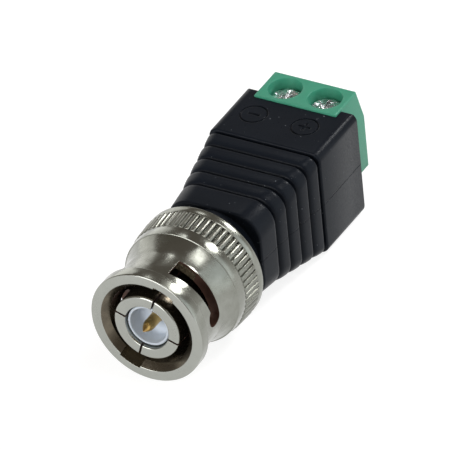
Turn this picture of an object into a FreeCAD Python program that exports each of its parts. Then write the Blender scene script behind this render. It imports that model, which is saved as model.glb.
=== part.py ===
"""Bayonet plug with two screw terminals: a CCTV cable adapter.

The plug's axis is Y and its mouth points to -Y. The origin is the centre of the outer
contact's front face. X is to the right seen from the mouth, and the clamp screws face +Z.
Lengths are in millimetres and angles in degrees, counted from +X towards +Z.
"""
import FreeCAD, Part
import math
import os

X_AXIS = FreeCAD.Vector(1, 0, 0)
Y_AXIS = FreeCAD.Vector(0, 1, 0)
Z_AXIS = FreeCAD.Vector(0, 0, 1)
ORIGIN = FreeCAD.Vector(0, 0, 0)
FULL_TURN = 360.0
REACH = 60.0  # half side of the blocks that cut the model in two, larger than the part

# Clearances between pieces
SEAT_GAP = 0.02  # radial gap of pieces pressed or cemented together
RUN_GAP = 0.07  # radial gap of pieces that turn or slide in each other
FACE_GAP = 0.05  # gap between faces that slide or stop on each other
SHELL_GAP = 0.04  # gap round what the housing halves hold
NUT_GAP = 0.15  # radial gap between the nut's bore and the flange inside it
WASHER_GAP = 0.1  # radial gap of the washers on the shank

# Outer contact and its body
CONTACT_R = 4.1
CONTACT_BORE_R = 2.72
CONTACT_LEN = 8.6
CONTACT_EDGE = 0.2
SLIT_COUNT = 4
SLIT_WIDTH = 0.2
SLIT_LEN = 6.0
SLIT_ANGLE = 72.0
FLANGE_T = 1.4
TUBE_BORE_R = 2.2
GASKET_T = 0.9
GASKET_SEAT = 0.4  # depth of the neck that holds the gasket
SPIGOT_R = 3.3
SPIGOT_LEN = 3.4

# Spring stack behind the flange
WAVE_ROOM = 1.15
WAVE_T = 0.25
WAVE_COUNT = 3
WAVE_STEPS = 36
WASHER_T = 0.4
LIP_T = 1.0
RING_T = 0.55
RING_DEPTH = 0.5
RING_RISE = 0.85
RING_MOUTH_ANGLE = 50.0
RING_MOUTH_AT = 270.0

# Coupling nut
JACK_ROOM = 0.9  # radial room between the contact and the nut for the mating shell
BARREL_WALL = 1.3
RIM_RISE = 0.7
RIM_W = 1.6
RIM_EDGE = 0.12
RIM_FILLET = 0.3
MOUTH_CHAMFER = 0.77
COVE_RISE = 0.82
COVE_LEN = 2.5
COVE_SAG = 0.22  # how far the cove's middle lies inside its chord
SHOULDER_W = 1.4
SHOULDER_STEP = 0.08
SHOULDER_RISE = 1.02
KNURL_FRONT_RISE = 1.13
KNURL_REAR_RISE = 1.26
KNURL_W = 2.7
KNURL_COUNT = 62
KNURL_DEPTH = 0.28
KNURL_ANGLE = 11.2  # angle of the first ridge
REAR_BAND_RISE = 1.2
REAR_BAND_W = 1.1
REAR_BAND_EDGE = 0.2
SKIRT_LEN = 0.7
SKIRT_WALL = 1.9

# Bayonet slots in the nut
LUG_GROOVE_W = 2.65
LUG_GROOVE_DEPTH = 1.0
LUG_GROOVE_ANGLE = 63.7
DETENT_R = 1.1
DETENT_Y = 4.25
DETENT_ANGLE = 3.0
CAM_START_ANGLE = 74.0
CAM_START_W = 2.55
CAM_END_W = 1.51
CAM_STEPS = 9
SLOT_COUNT = 2

# Insulators and centre pin
PIN_R = 0.675
PIN_TIP_OUT = 0.7
PIN_POINT_LEN = 1.0
PIN_POINT_R = 0.12
PIN_ROOT_R = 0.85
PIN_SHOULDER_R = 1.2
PIN_SHOULDER_LEN = 1.2
PIN_TAIL_R = 0.6
PIN_TAIL_OUT = 2.2
CUP_DEPTH = 2.0
CUP_BORE_R = 0.42
LIP_BACK = 0.4
LIP_GAP = 0.15
LIP_WALL = 0.3
DISH_DEPTH = 2.4
SEAT_LEN = 3.5
SEAT_OFFSET = 0.9  # distance from the flange's front to the end of the wide bore
BUSH_OUT = 0.5

# Rear body
ANCHOR_RISE = 0.2
ANCHOR_T = 2.0
REAR_TUBE_WALL = 1.0
REAR_TUBE_LEN = 2.7
LUG_SEAT_WALL = 0.6
LUG_SEAT_LEN = 2.3

# Ground lug
LUG_T = 0.5
LUG_RING_WALL = 1.0
LUG_TAIL_W = 1.6
LUG_TAIL_LEN = 3.8

# Housing outside
COLLAR_GAP = 0.95
COLLAR_LEN = 1.75
COLLAR_WALL = 1.25
FRONT_SIDE_WALL = 1.54
FRONT_TOP_WALL = 1.285
FRONT_CORNER_R = 3.0
FRONT_EDGE = 0.25
BAND_LEN = 3.2
BAND_FLARE = 0.19
BAND_CORNER_R = 2.8
GROOVE_COUNT = 5
GROOVE_PITCH = 2.13
GROOVE_W = 0.38
GROOVE_DEPTH = 0.4
GROOVE_DRAFT = 0.1
RIB_NOSE = 0.2
RIB_NOSE_LEN = 0.3
RIB_BULGE = 0.05
LAST_RIB_INSET = 0.14
LAST_RIB_CORNER_R = 1.2
BOX_LEN = 8.7
BOX_SIDE_WALL = 1.81
BOX_HALF_H = 6.78
BOX_CORNER_R = 1.1
BOX_EDGE = 0.12
HORN_R = 0.5
HEEL_R = 1.0

# Housing inside
FRONT_WALL_T = 1.45
ANCHOR_RIB_T = 1.3
TAPER_WALL = 1.2
BOX_WALL = 1.58
STOP_RIB_T = 1.3
STOP_RIB_H = 0.6
TOP_WALL_T = 1.5
PIN_ROOM = 0.45
SOLDER_ROOM = 1.46  # room for the jumpers' solder joints under the block
PEG_R = 0.45
PEG_H = 1.2
PEG_GAP = 0.05
PEG_SETBACK = 1.9

# Polarity discs on the top face
DISC_R = 1.65
DISC_LINE = 0.2
DISC_DEPTH = 0.12
DISC_HALF_SPACING = 3.32
DISC_SETBACK = 4.4
MARK_LEN = 1.5
MARK_W = 0.32

# Terminal block
PITCH = 5.08
POLE_COUNT = 2
BLOCK_SIDE = 0.15  # width outside the last pole's pitch
BLOCK_OVERHANG = 4.7
BLOCK_DEPTH = 7.74
BLOCK_PROUD = 0.22
BLOCK_H = 10.74
BLOCK_EDGE = 0.15
STEP_DEPTH = 1.53
SLOPE_DEPTH = 1.31
SLOPE_H = 4.03
SCREW_SETBACK = 3.72
SCREW_HOLE_R = 2.0
BLOCK_FLOOR_T = 1.24

# Clamp
CAGE_HALF_W = 1.85
CAGE_WALL = 0.6
CAGE_DEPTH = 3.6
CAGE_BASE_T = 0.7
CAGE_HEAD_T = 1.1
CAGE_TRAVEL = 2.0
WIRE_ROOM = 2.2
BAR_T = 0.8
BAR_SIDE_GAP = 0.08
BAR_INSET = 0.15
BAR_TIP_LEN = 0.6
BAR_PIN_HALF_W = 0.7
BAR_PIN_OUT = 1.16
SCREW_R = 1.45
SCREW_HEAD_GAP = 0.1
SCREW_HEAD_T = 1.15
LEDGE_T = 0.4
SCREW_HEAD_EDGE = 0.2
SLOT_W = 0.5
SLOT_D = 0.55
CROSS_LEN = 2.4
FUNNEL = 0.3
ENTRY_SIDE_GAP = 0.05

# Jumper wires
WIRE_R = 0.4
WIRE_BEND_R = 1.6
WIRE_LEAD = 1.6
WIRE_STEP = 0.5  # straight run of the ground jumper past the step in the housing's floor
WIRE_SIGNAL_OUT = 1.2
WIRE_RISE = 0.55  # height of the wire's centre above the tip of the solder pin

# Places along the axis, from the mouth to the terminals
dish_y = LIP_BACK + DISH_DEPTH
flange_y = CONTACT_LEN
gasket_y = flange_y - GASKET_T
gasket_seat_r = CONTACT_R - GASKET_SEAT
seat_y = flange_y + SEAT_OFFSET
wave_y = flange_y + FLANGE_T
washer_y = wave_y + WAVE_ROOM
lip_y = washer_y + WASHER_T + FACE_GAP
ring_y = lip_y + LIP_T + FACE_GAP
nut_len = lip_y + LIP_T + SKIRT_LEN
collar_y = nut_len + COLLAR_GAP
front_y = collar_y + COLLAR_LEN
anchor_y = front_y + FRONT_WALL_T + FACE_GAP
anchor_end_y = anchor_y + ANCHOR_T
lug_y = anchor_end_y + REAR_TUBE_LEN
rear_body_end_y = lug_y + LUG_SEAT_LEN
cavity_y = anchor_end_y + FACE_GAP + ANCHOR_RIB_T
box_y = front_y + BAND_LEN + GROOVE_W + (GROOVE_COUNT - 1) * GROOVE_PITCH
box_end_y = box_y + BOX_LEN
block_end_y = box_end_y + BLOCK_OVERHANG
block_y = block_end_y - BLOCK_DEPTH
step_y = block_y + STEP_DEPTH
screw_y = block_end_y - SCREW_SETBACK
bar_pin_end_y = block_y + BAR_INSET + BAR_T
stop_y = block_y - SHELL_GAP
box_cavity_y = box_y + BOX_WALL / 2

# Radii that follow from each other
nut_bore_r = CONTACT_R + JACK_ROOM
flange_r = nut_bore_r - NUT_GAP
barrel_r = nut_bore_r + BARREL_WALL
washer_in_r = CONTACT_R + WASHER_GAP
washer_out_r = flange_r + FACE_GAP
groove_r = CONTACT_R - RING_DEPTH
rear_tube_r = TUBE_BORE_R + REAR_TUBE_WALL
lug_seat_r = TUBE_BORE_R + LUG_SEAT_WALL
collar_r = CONTACT_R + SHELL_GAP + COLLAR_WALL
anchor_half = CONTACT_R + ANCHOR_RISE

# Half sizes of the housing and what it holds
block_half_w = POLE_COUNT * PITCH / 2 + BLOCK_SIDE
box_half_w = block_half_w + SHELL_GAP + BOX_SIDE_WALL
front_half_w = anchor_half + SHELL_GAP + FRONT_SIDE_WALL
front_half_h = anchor_half + SHELL_GAP + FRONT_TOP_WALL
block_top_z = BOX_HALF_H + BLOCK_PROUD
block_base_z = block_top_z - BLOCK_H
step_z = BOX_HALF_H - TOP_WALL_T - SHELL_GAP
taper_cavity_w = front_half_w - TAPER_WALL
taper_cavity_h = front_half_h - TAPER_WALL
box_cavity_h = BOX_HALF_H - BOX_WALL

# Heights in the terminal block
solder_floor_z = block_base_z - SOLDER_ROOM
cage_base_z = block_base_z + BLOCK_FLOOR_T + FACE_GAP
bar_z = cage_base_z + CAGE_BASE_T + WIRE_ROOM
bar_top_z = bar_z + BAR_T
cage_head_z = bar_top_z + FACE_GAP
cage_top_z = cage_head_z + CAGE_HEAD_T
shaft_top_z = cage_top_z + CAGE_TRAVEL + FACE_GAP
ledge_z = shaft_top_z + LEDGE_T
screw_head_z = ledge_z + FACE_GAP
bar_pin_z = block_base_z - BAR_PIN_OUT
wire_z = bar_pin_z + WIRE_RISE


def vec(x, y, z):
    """A point or direction."""
    return FreeCAD.Vector(x, y, z)


def box(low, high):
    """A block between two opposite corners."""
    size = [b - a for a, b in zip(low, high)]
    return Part.makeBox(size[0], size[1], size[2], vec(*low))


def rod(radius, y0, y1, x=0.0, z=0.0):
    """A cylinder along Y."""
    return Part.makeCylinder(radius, y1 - y0, vec(x, y0, z), Y_AXIS)


def post(radius, x, y, z0, z1):
    """A cylinder along Z."""
    return Part.makeCylinder(radius, z1 - z0, vec(x, y, z0), Z_AXIS)


def turned(outline):
    """Turn an outline of (y, r) points about the Y axis. An entry of four numbers is an arc
    through its first point to its second."""
    edges = []
    first = vec(outline[0][1], outline[0][0], 0)
    start = first
    for entry in outline[1:]:
        end = vec(entry[-1], entry[-2], 0)
        if len(entry) == 4:
            middle = vec(entry[1], entry[0], 0)
            edges.append(Part.Arc(start, middle, end).toShape())
        else:
            edges.append(Part.LineSegment(start, end).toShape())
        start = end
    edges.append(Part.LineSegment(start, first).toShape())
    face = Part.Face(Part.Wire(edges))
    return face.revolve(ORIGIN, Y_AXIS, FULL_TURN)


def ring(inner_r, outer_r, y0, y1):
    """A flat ring about the Y axis."""
    return turned([(y0, inner_r), (y0, outer_r), (y1, outer_r), (y1, inner_r)])


def turn(shape, angle):
    """A copy turned about the plug's axis, from +X towards +Z."""
    copy = shape.copy()
    copy.rotate(ORIGIN, Y_AXIS, -angle)
    return copy


def fuse_all(shapes):
    """One solid from shapes that overlap."""
    return shapes[0].multiFuse(shapes[1:]).removeSplitter()


def poles():
    """Middle of each pole across the terminal block, left first."""
    return [(index - (POLE_COUNT - 1) / 2) * PITCH for index in range(POLE_COUNT)]


# Plug front


def plug_body():
    """Outer contact with its tines, the flange, the shank and the spigot behind it."""
    shank_end = front_y
    body = turned([
        (0, CONTACT_BORE_R + CONTACT_EDGE), (0, CONTACT_R - CONTACT_EDGE), (CONTACT_EDGE, CONTACT_R),
        (gasket_y, CONTACT_R), (gasket_y, gasket_seat_r), (flange_y, gasket_seat_r),
        (flange_y, flange_r), (wave_y, flange_r), (wave_y, CONTACT_R),
        (ring_y, CONTACT_R), (ring_y, groove_r), (ring_y + RING_T + FACE_GAP, groove_r),
        (ring_y + RING_T + FACE_GAP, CONTACT_R), (shank_end, CONTACT_R), (shank_end, SPIGOT_R),
        (shank_end + SPIGOT_LEN, SPIGOT_R), (shank_end + SPIGOT_LEN, TUBE_BORE_R),
        (seat_y, TUBE_BORE_R), (seat_y, CONTACT_BORE_R), (CONTACT_EDGE, CONTACT_BORE_R),
    ])
    slit = box((0, -CONTACT_EDGE, -SLIT_WIDTH / 2), (2 * CONTACT_R, SLIT_LEN, SLIT_WIDTH / 2))
    step = FULL_TURN / SLIT_COUNT
    slits = [turn(slit, SLIT_ANGLE + step * index) for index in range(SLIT_COUNT)]
    return body.cut(slits)


def rear_body():
    """Turned body pressed on the spigot, with the square flange that the housing holds."""
    socket_end = front_y + SPIGOT_LEN + SEAT_GAP
    socket_r = SPIGOT_R + SEAT_GAP
    core = turned([
        (front_y, socket_r), (front_y, CONTACT_R), (anchor_end_y, CONTACT_R),
        (anchor_end_y, rear_tube_r), (lug_y, rear_tube_r), (lug_y, lug_seat_r),
        (rear_body_end_y, lug_seat_r), (rear_body_end_y, TUBE_BORE_R), (socket_end, TUBE_BORE_R),
        (socket_end, socket_r),
    ])
    square = box((-anchor_half, anchor_y, -anchor_half), (anchor_half, anchor_end_y, anchor_half))
    return core.fuse(square.cut(rod(CONTACT_R - SEAT_GAP, anchor_y, anchor_end_y))).removeSplitter()


def front_insulator():
    """Insulator with its open dish round the pin, and the seat behind it."""
    outer_r = CONTACT_BORE_R - LIP_GAP
    seat_r = CONTACT_BORE_R - SEAT_GAP
    seat_start = seat_y - SEAT_LEN
    hole_r = PIN_ROOT_R + SEAT_GAP
    pocket_y = seat_y - PIN_SHOULDER_LEN - SEAT_GAP
    return turned([
        (LIP_BACK, outer_r - LIP_WALL), (LIP_BACK, outer_r), (seat_start, outer_r),
        (seat_start, seat_r), (seat_y, seat_r), (seat_y, PIN_SHOULDER_R + SEAT_GAP),
        (pocket_y, PIN_SHOULDER_R + SEAT_GAP), (pocket_y, hole_r), (dish_y, hole_r),
        (dish_y, outer_r - LIP_WALL),
    ])


def rear_insulator():
    """Long bush that carries the pin's tail through the body."""
    end = rear_body_end_y + BUSH_OUT
    return ring(PIN_TAIL_R + SEAT_GAP, TUBE_BORE_R - SEAT_GAP, seat_y, end)


def centre_pin():
    """Pin with its point, shoulder and hollow solder tail."""
    tip = -PIN_TIP_OUT
    tail_end = rear_body_end_y + BUSH_OUT + PIN_TAIL_OUT
    shoulder = seat_y - PIN_SHOULDER_LEN
    return turned([
        (tip, 0), (tip, PIN_POINT_R), (tip + PIN_POINT_LEN, PIN_R), (dish_y, PIN_R),
        (dish_y, PIN_ROOT_R), (shoulder, PIN_ROOT_R), (shoulder, PIN_SHOULDER_R),
        (seat_y - SEAT_GAP, PIN_SHOULDER_R),
        (seat_y - SEAT_GAP, PIN_TAIL_R), (tail_end, PIN_TAIL_R), (tail_end, CUP_BORE_R),
        (tail_end - CUP_DEPTH, CUP_BORE_R), (tail_end - CUP_DEPTH, 0),
    ])


def sealing_gasket():
    """Soft ring against the front of the flange."""
    return ring(gasket_seat_r + FACE_GAP, flange_r, gasket_y, flange_y)


def wave_section(angle, middle_y, swing):
    """Section of the waved ring at an angle, standing in a plane through the axis."""
    y = middle_y + swing * math.sin(math.radians(WAVE_COUNT * angle))
    corners = [
        vec(washer_in_r, y - WAVE_T / 2, 0), vec(washer_out_r, y - WAVE_T / 2, 0),
        vec(washer_out_r, y + WAVE_T / 2, 0), vec(washer_in_r, y + WAVE_T / 2, 0),
    ]
    section = Part.makePolygon(corners + [corners[0]])
    return turn(section, angle)


def wave_washer():
    """Spring washer bent in waves, lofted in two halves that are joined."""
    swing = (WAVE_ROOM - WAVE_T) / 2 - SEAT_GAP
    middle_y = wave_y + WAVE_ROOM / 2
    half = WAVE_STEPS // 2
    halves = []
    for start in (0, half):
        angles = [(start + index) * FULL_TURN / WAVE_STEPS for index in range(half + 1)]
        sections = [wave_section(angle, middle_y, swing) for angle in angles]
        halves.append(Part.makeLoft(sections, True, True))
    return fuse_all(halves)


def thrust_washer():
    """Flat washer between the spring and the nut's lip."""
    return ring(washer_in_r, washer_out_r, washer_y, washer_y + WASHER_T)


def retaining_ring():
    """Open ring in the shank's groove, which stops the nut's lip."""
    outer_r = CONTACT_R + RING_RISE
    whole = ring(groove_r + SEAT_GAP, outer_r, ring_y, ring_y + RING_T)
    half_mouth = outer_r * math.tan(math.radians(RING_MOUTH_ANGLE / 2))
    mouth = box((0, ring_y - RING_T, -half_mouth), (2 * outer_r, ring_y + 2 * RING_T, half_mouth))
    return whole.cut(turn(mouth, RING_MOUTH_AT))


# Coupling nut


def nut_blank():
    """Turned nut before its slots and knurl are cut."""
    rim_r = barrel_r + RIM_RISE
    knurl_end = nut_len - REAR_BAND_W
    knurl_start = knurl_end - KNURL_W
    cove_end = knurl_start - SHOULDER_W
    cove_start = cove_end - COVE_LEN
    cove_r = barrel_r + COVE_RISE
    shoulder_r = barrel_r + SHOULDER_RISE
    band_r = barrel_r + REAR_BAND_RISE
    bend = RIM_FILLET * (1 - math.sqrt(0.5))
    return turned([
        (0, nut_bore_r + MOUTH_CHAMFER), (0, rim_r - RIM_EDGE), (RIM_EDGE, rim_r),
        (RIM_W - RIM_EDGE, rim_r), (RIM_W, rim_r - RIM_EDGE), (RIM_W, barrel_r + RIM_FILLET),
        (RIM_W + bend, barrel_r + bend, RIM_W + RIM_FILLET, barrel_r), (cove_start, barrel_r),
        (cove_start + COVE_LEN / 2, barrel_r + COVE_RISE / 2 - COVE_SAG / 2, cove_end, cove_r),
        (cove_end + SHOULDER_STEP, cove_r + SHOULDER_STEP), (knurl_start, shoulder_r),
        (knurl_start, barrel_r + KNURL_FRONT_RISE), (knurl_end, barrel_r + KNURL_REAR_RISE),
        (knurl_end, band_r), (nut_len - REAR_BAND_EDGE, band_r),
        (nut_len, band_r - REAR_BAND_EDGE), (nut_len, band_r - SKIRT_WALL),
        (lip_y + LIP_T, band_r - SKIRT_WALL), (lip_y + LIP_T, CONTACT_R + RUN_GAP),
        (lip_y, CONTACT_R + RUN_GAP), (lip_y, nut_bore_r), (MOUTH_CHAMFER, nut_bore_r),
    ])


def knurl_cuts():
    """Straight V grooves round the knurled band, midway between its ridges."""
    knurl_end = nut_len - REAR_BAND_W
    knurl_start = knurl_end - KNURL_W
    crest_r = barrel_r + KNURL_REAR_RISE
    root_r = barrel_r + KNURL_FRONT_RISE - KNURL_DEPTH
    step = FULL_TURN / KNURL_COUNT
    half = crest_r * math.tan(math.radians(step / 2))
    over = crest_r - root_r
    corners = [
        vec(root_r, knurl_start, 0), vec(crest_r + over, knurl_start, half * 2),
        vec(crest_r + over, knurl_start, -half * 2),
    ]
    tool = Part.Face(Part.makePolygon(corners + [corners[0]])).extrude(Y_AXIS * KNURL_W)
    return [turn(tool, KNURL_ANGLE + step * (index + 0.5)) for index in range(KNURL_COUNT)]


def cam_section(angle, front, rear):
    """Section of the cam slot at an angle, from inside the bore to outside the rim."""
    low_r = nut_bore_r - JACK_ROOM / 2
    high_r = barrel_r + 2 * RIM_RISE
    corners = [vec(low_r, front, 0), vec(high_r, front, 0), vec(high_r, rear, 0), vec(low_r, rear, 0)]
    return turn(Part.makePolygon(corners + [corners[0]]), angle)


def bayonet_cut():
    """Entry groove, cam slot and detent hole of one bayonet slot."""
    rear = DETENT_Y + DETENT_R
    groove = box((0, -RIM_W, -LUG_GROOVE_W / 2), (2 * barrel_r, rear, LUG_GROOVE_W / 2))
    groove = groove.common(rod(nut_bore_r + LUG_GROOVE_DEPTH, -RIM_W, rear))
    sections = []
    for index in range(CAM_STEPS + 1):
        share = index / CAM_STEPS
        width = CAM_START_W + (CAM_END_W - CAM_START_W) * share
        angle = CAM_START_ANGLE + (DETENT_ANGLE - CAM_START_ANGLE) * share
        sections.append(cam_section(angle, rear - width, rear))
    cam = Part.makeLoft(sections, True, True)
    detent = Part.makeCylinder(DETENT_R, 2 * RIM_RISE + barrel_r, vec(0, DETENT_Y, 0), X_AXIS)
    return [turn(groove, LUG_GROOVE_ANGLE), cam, turn(detent, DETENT_ANGLE)]


def coupling_nut():
    """Coupling nut with its knurl and the two bayonet slots."""
    nut = nut_blank().cut(knurl_cuts())
    for index in range(SLOT_COUNT):
        nut = nut.cut([turn(tool, index * FULL_TURN / SLOT_COUNT) for tool in bayonet_cut()])
    return nut


# Ground lug and jumper wires


def lug_tail_z():
    """Height of the lug tail's lower face, just above the housing's floor."""
    return -(taper_cavity_h - 3 * FACE_GAP)


def ground_lug():
    """Ring on the rear body's end with a bent solder tail."""
    inner_r = lug_seat_r + SEAT_GAP
    plate = ring(inner_r, inner_r + LUG_RING_WALL, lug_y, lug_y + LUG_T)
    low = lug_tail_z()
    half = LUG_TAIL_W / 2
    neck = box((-half, lug_y, low), (half, lug_y + LUG_T, -inner_r - LUG_RING_WALL / 2))
    tail = box((-half, lug_y, low), (half, lug_y + LUG_TAIL_LEN, low + LUG_T))
    return fuse_all([plate, neck, tail])


def wire_along(points):
    """Round wire along straight runs that are joined by tangent arcs."""
    edges = []
    start = points[0]
    for before, corner, after in zip(points, points[1:], points[2:]):
        back = (before - corner).normalize()
        ahead = (after - corner).normalize()
        half_angle = back.getAngle(ahead) / 2
        reach = WIRE_BEND_R / math.tan(half_angle)
        arc_start = corner + back * reach
        arc_end = corner + ahead * reach
        inward = (back + ahead).normalize()
        middle = corner + inward * (WIRE_BEND_R / math.sin(half_angle) - WIRE_BEND_R)
        edges.append(Part.LineSegment(start, arc_start).toShape())
        edges.append(Part.Arc(arc_start, middle, arc_end).toShape())
        start = arc_end
    edges.append(Part.LineSegment(start, points[-1]).toShape())
    direction = points[1] - points[0]
    profile = Part.Wire(Part.makeCircle(WIRE_R, points[0], direction))
    return Part.Wire(edges).makePipeShell([profile], True, True)


def wire_end(x):
    """Last two points of a jumper, which meets the solder pin of the pole at x."""
    face_y = block_y + BAR_INSET
    return [vec(x, face_y - WIRE_LEAD, wire_z), vec(x, face_y, wire_z)]


def signal_jumper():
    """Wire from the centre pin's tail to the right pole."""
    tail_end = rear_body_end_y + BUSH_OUT + PIN_TAIL_OUT
    start = vec(0, tail_end - CUP_DEPTH, 0)
    bend = vec(0, tail_end + WIRE_SIGNAL_OUT, 0)
    return wire_along([start, bend] + wire_end(poles()[-1]))


def ground_jumper():
    """Wire from the ground lug's tail to the left pole."""
    z = lug_tail_z() + LUG_T + WIRE_R
    start = vec(0, lug_y + 2 * LUG_T, z)
    bend = vec(0, box_cavity_y + WIRE_STEP, z)
    return wire_along([start, bend] + wire_end(poles()[0]))


# Housing


def rounded_section(y, half_w, half_h, corner_r):
    """Upright rounded rectangle about the axis, as eight edges that start at +X."""
    corners = [(1, 1), (-1, 1), (-1, -1), (1, -1)]
    points = []
    for index, (sx, sz) in enumerate(corners):
        centre = vec(sx * (half_w - corner_r), y, sz * (half_h - corner_r))
        for share in (0, 0.5, 1):
            angle = math.radians(90 * (index + share))
            points.append(centre + vec(corner_r * math.cos(angle), 0, corner_r * math.sin(angle)))
    edges = []
    for index in range(0, len(points), 3):
        a, b, c = points[index:index + 3]
        following = points[(index + 3) % len(points)]
        edges.append(Part.Arc(a, b, c).toShape())
        edges.append(Part.LineSegment(c, following).toShape())
    return Part.Wire(edges)


def blend(a, b, share):
    """Values between two equal-length rows of numbers."""
    return [p + (q - p) * share for p, q in zip(a, b)]


def crest(y):
    """Half width, half height and corner radius of the tapered part's crests at y."""
    front = (front_half_w, front_half_h, FRONT_CORNER_R)
    band = (front_half_w + BAND_FLARE, front_half_h + BAND_FLARE, BAND_CORNER_R)
    last = (box_half_w - LAST_RIB_INSET, BOX_HALF_H - LAST_RIB_INSET, LAST_RIB_CORNER_R)
    band_y = front_y + BAND_LEN
    if y <= band_y:
        return blend(front, band, (y - front_y) / BAND_LEN)
    return blend(band, last, (y - band_y) / (box_y - GROOVE_W - band_y))


def shrunk(size, amount):
    """A section that lies inside another by the amount, with its corners as round as fit."""
    half_w, half_h, corner_r = size
    return half_w - amount, half_h - amount, corner_r - amount / 2


def rib_stations(start, end):
    """Sections of one rounded rib, from the groove in front of it to just before the next."""
    nose = start + RIB_NOSE_LEN
    tail = end - RIB_NOSE_LEN
    middle = (start + end) / 2
    return [
        (start, shrunk(crest(start), RIB_NOSE)),
        (nose, crest(nose)),
        (middle, shrunk(crest(middle), -RIB_BULGE)),
        (tail, crest(tail)),
    ]


def housing_outside():
    """Outer form: front band, grooved taper and box."""
    tail = front_y + BAND_LEN - RIB_NOSE_LEN
    stations = [(front_y, shrunk(crest(front_y), FRONT_EDGE)), (front_y + FRONT_EDGE, crest(front_y))]
    stations.append((tail, crest(tail)))
    for index in range(GROOVE_COUNT):
        y = front_y + BAND_LEN + index * GROOVE_PITCH
        end = y + GROOVE_W
        stations.append((y, shrunk(crest(y), RIB_NOSE)))
        stations.append((y + GROOVE_DRAFT, shrunk(crest(y), GROOVE_DEPTH)))
        stations.append((end - GROOVE_DRAFT, shrunk(crest(y), GROOVE_DEPTH)))
        if index < GROOVE_COUNT - 1:
            stations += rib_stations(end, y + GROOVE_PITCH)
    full = (box_half_w, BOX_HALF_H, BOX_CORNER_R)
    stations.append((box_y, shrunk(full, BOX_EDGE)))
    stations.append((box_y + BOX_EDGE, full))
    stations.append((box_end_y, full))
    wires = [rounded_section(y, *size) for y, size in stations]
    body = Part.makeLoft(wires, True, True)
    return body.common(side_profile()).fuse(rod(collar_r, collar_y, front_y + FRONT_EDGE))


def side_profile():
    """Side view of the housing with its rounded rear corners, as a thick plate."""
    top = 2 * BOX_HALF_H
    horn = HORN_R * (1 - math.sqrt(0.5))
    heel = HEEL_R * (1 - math.sqrt(0.5))
    end = box_end_y
    z = BOX_HALF_H
    edges = [
        Part.LineSegment(vec(0, 0, -top), vec(0, 0, top)),
        Part.LineSegment(vec(0, 0, top), vec(0, end - HORN_R, z)),
        Part.Arc(vec(0, end - HORN_R, z), vec(0, end - horn, z - horn), vec(0, end, z - HORN_R)),
        Part.LineSegment(vec(0, end, z - HORN_R), vec(0, end, HEEL_R - z)),
        Part.Arc(vec(0, end, HEEL_R - z), vec(0, end - heel, heel - z), vec(0, end - HEEL_R, -z)),
        Part.LineSegment(vec(0, end - HEEL_R, -z), vec(0, 0, -top)),
    ]
    face = Part.Face(Part.Wire([edge.toShape() for edge in edges]))
    plate = face.extrude(X_AXIS * (4 * box_half_w))
    plate.translate(vec(-2 * box_half_w, 0, 0))
    return plate


def housing_hollow():
    """Everything that is cut from the housing, from the front to the terminals."""
    past = box_end_y + BLOCK_OVERHANG
    anchor = anchor_half + SHELL_GAP
    side = block_half_w + SHELL_GAP
    stop_front = stop_y - STOP_RIB_T
    inner_w = box_half_w - BOX_WALL
    window_w = block_half_w - STOP_RIB_H
    pin_w = poles()[-1] + BAR_PIN_HALF_W + PIN_ROOM
    pin_end = bar_pin_end_y + PIN_ROOM
    base = block_base_z - SHELL_GAP
    ceiling = step_z + SHELL_GAP
    window_top = ceiling - STOP_RIB_H
    return [
        rod(CONTACT_R + SHELL_GAP, 0, anchor_y),
        box((-anchor, anchor_y - FACE_GAP, -anchor), (anchor, anchor_end_y + FACE_GAP, anchor)),
        rod(rear_tube_r + SHELL_GAP, anchor_end_y, cavity_y),
        box((-taper_cavity_w, cavity_y, -taper_cavity_h), (taper_cavity_w, stop_front, taper_cavity_h)),
        box((-inner_w, box_cavity_y, solder_floor_z), (inner_w, stop_front, box_cavity_h)),
        box((-window_w, stop_front - SHELL_GAP, solder_floor_z), (window_w, stop_y, window_top)),
        box((-side, stop_y, base), (side, step_y, ceiling)),
        box((-side, step_y - SHELL_GAP, base), (side, past, 2 * BOX_HALF_H)),
        box((-pin_w, stop_y - SHELL_GAP, solder_floor_z), (pin_w, pin_end, base)),
    ]


def pegs(radius, height):
    """Locating pegs that stand up from the parting plane."""
    box_x = (box_half_w - BOX_WALL + box_half_w) / 2
    rib_x = (rear_tube_r + front_half_w) / 2
    rib_y = cavity_y - ANCHOR_RIB_T / 2
    places = [(box_x, box_y + PEG_SETBACK), (rib_x, rib_y)]
    return [post(radius, side * x, y, 0, height) for x, y in places for side in (-1, 1)]


def housing_half(upper):
    """One half of the housing, cut at the parting plane."""
    whole = housing_outside().cut(housing_hollow())
    if upper:
        part = whole.common(box((-REACH, -REACH, 0), (REACH, REACH, REACH)))
        part = part.cut(pegs(PEG_R + PEG_GAP, PEG_H + PEG_GAP))
        return part.cut(polarity_cuts())
    part = whole.common(box((-REACH, -REACH, -REACH), (REACH, REACH, 0)))
    return fuse_all([part] + pegs(PEG_R, PEG_H))


def polarity_cuts():
    """Shallow discs' outlines with a minus on the left and a plus on the right."""
    low = BOX_HALF_H - DISC_DEPTH
    high = BOX_HALF_H + DISC_DEPTH
    y = box_end_y - DISC_SETBACK
    half = MARK_LEN / 2
    thin = MARK_W / 2
    cuts = []
    for side in (-1, 1):
        x = side * DISC_HALF_SPACING
        cuts.append(post(DISC_R, x, y, low, high).cut(post(DISC_R - DISC_LINE, x, y, low, high)))
        cuts.append(box((x - half, y - thin, low), (x + half, y + thin, high)))
    x = DISC_HALF_SPACING
    cuts.append(box((x - thin, y - half, low), (x + thin, y + half, high)))
    return cuts


# Terminal block


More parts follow.
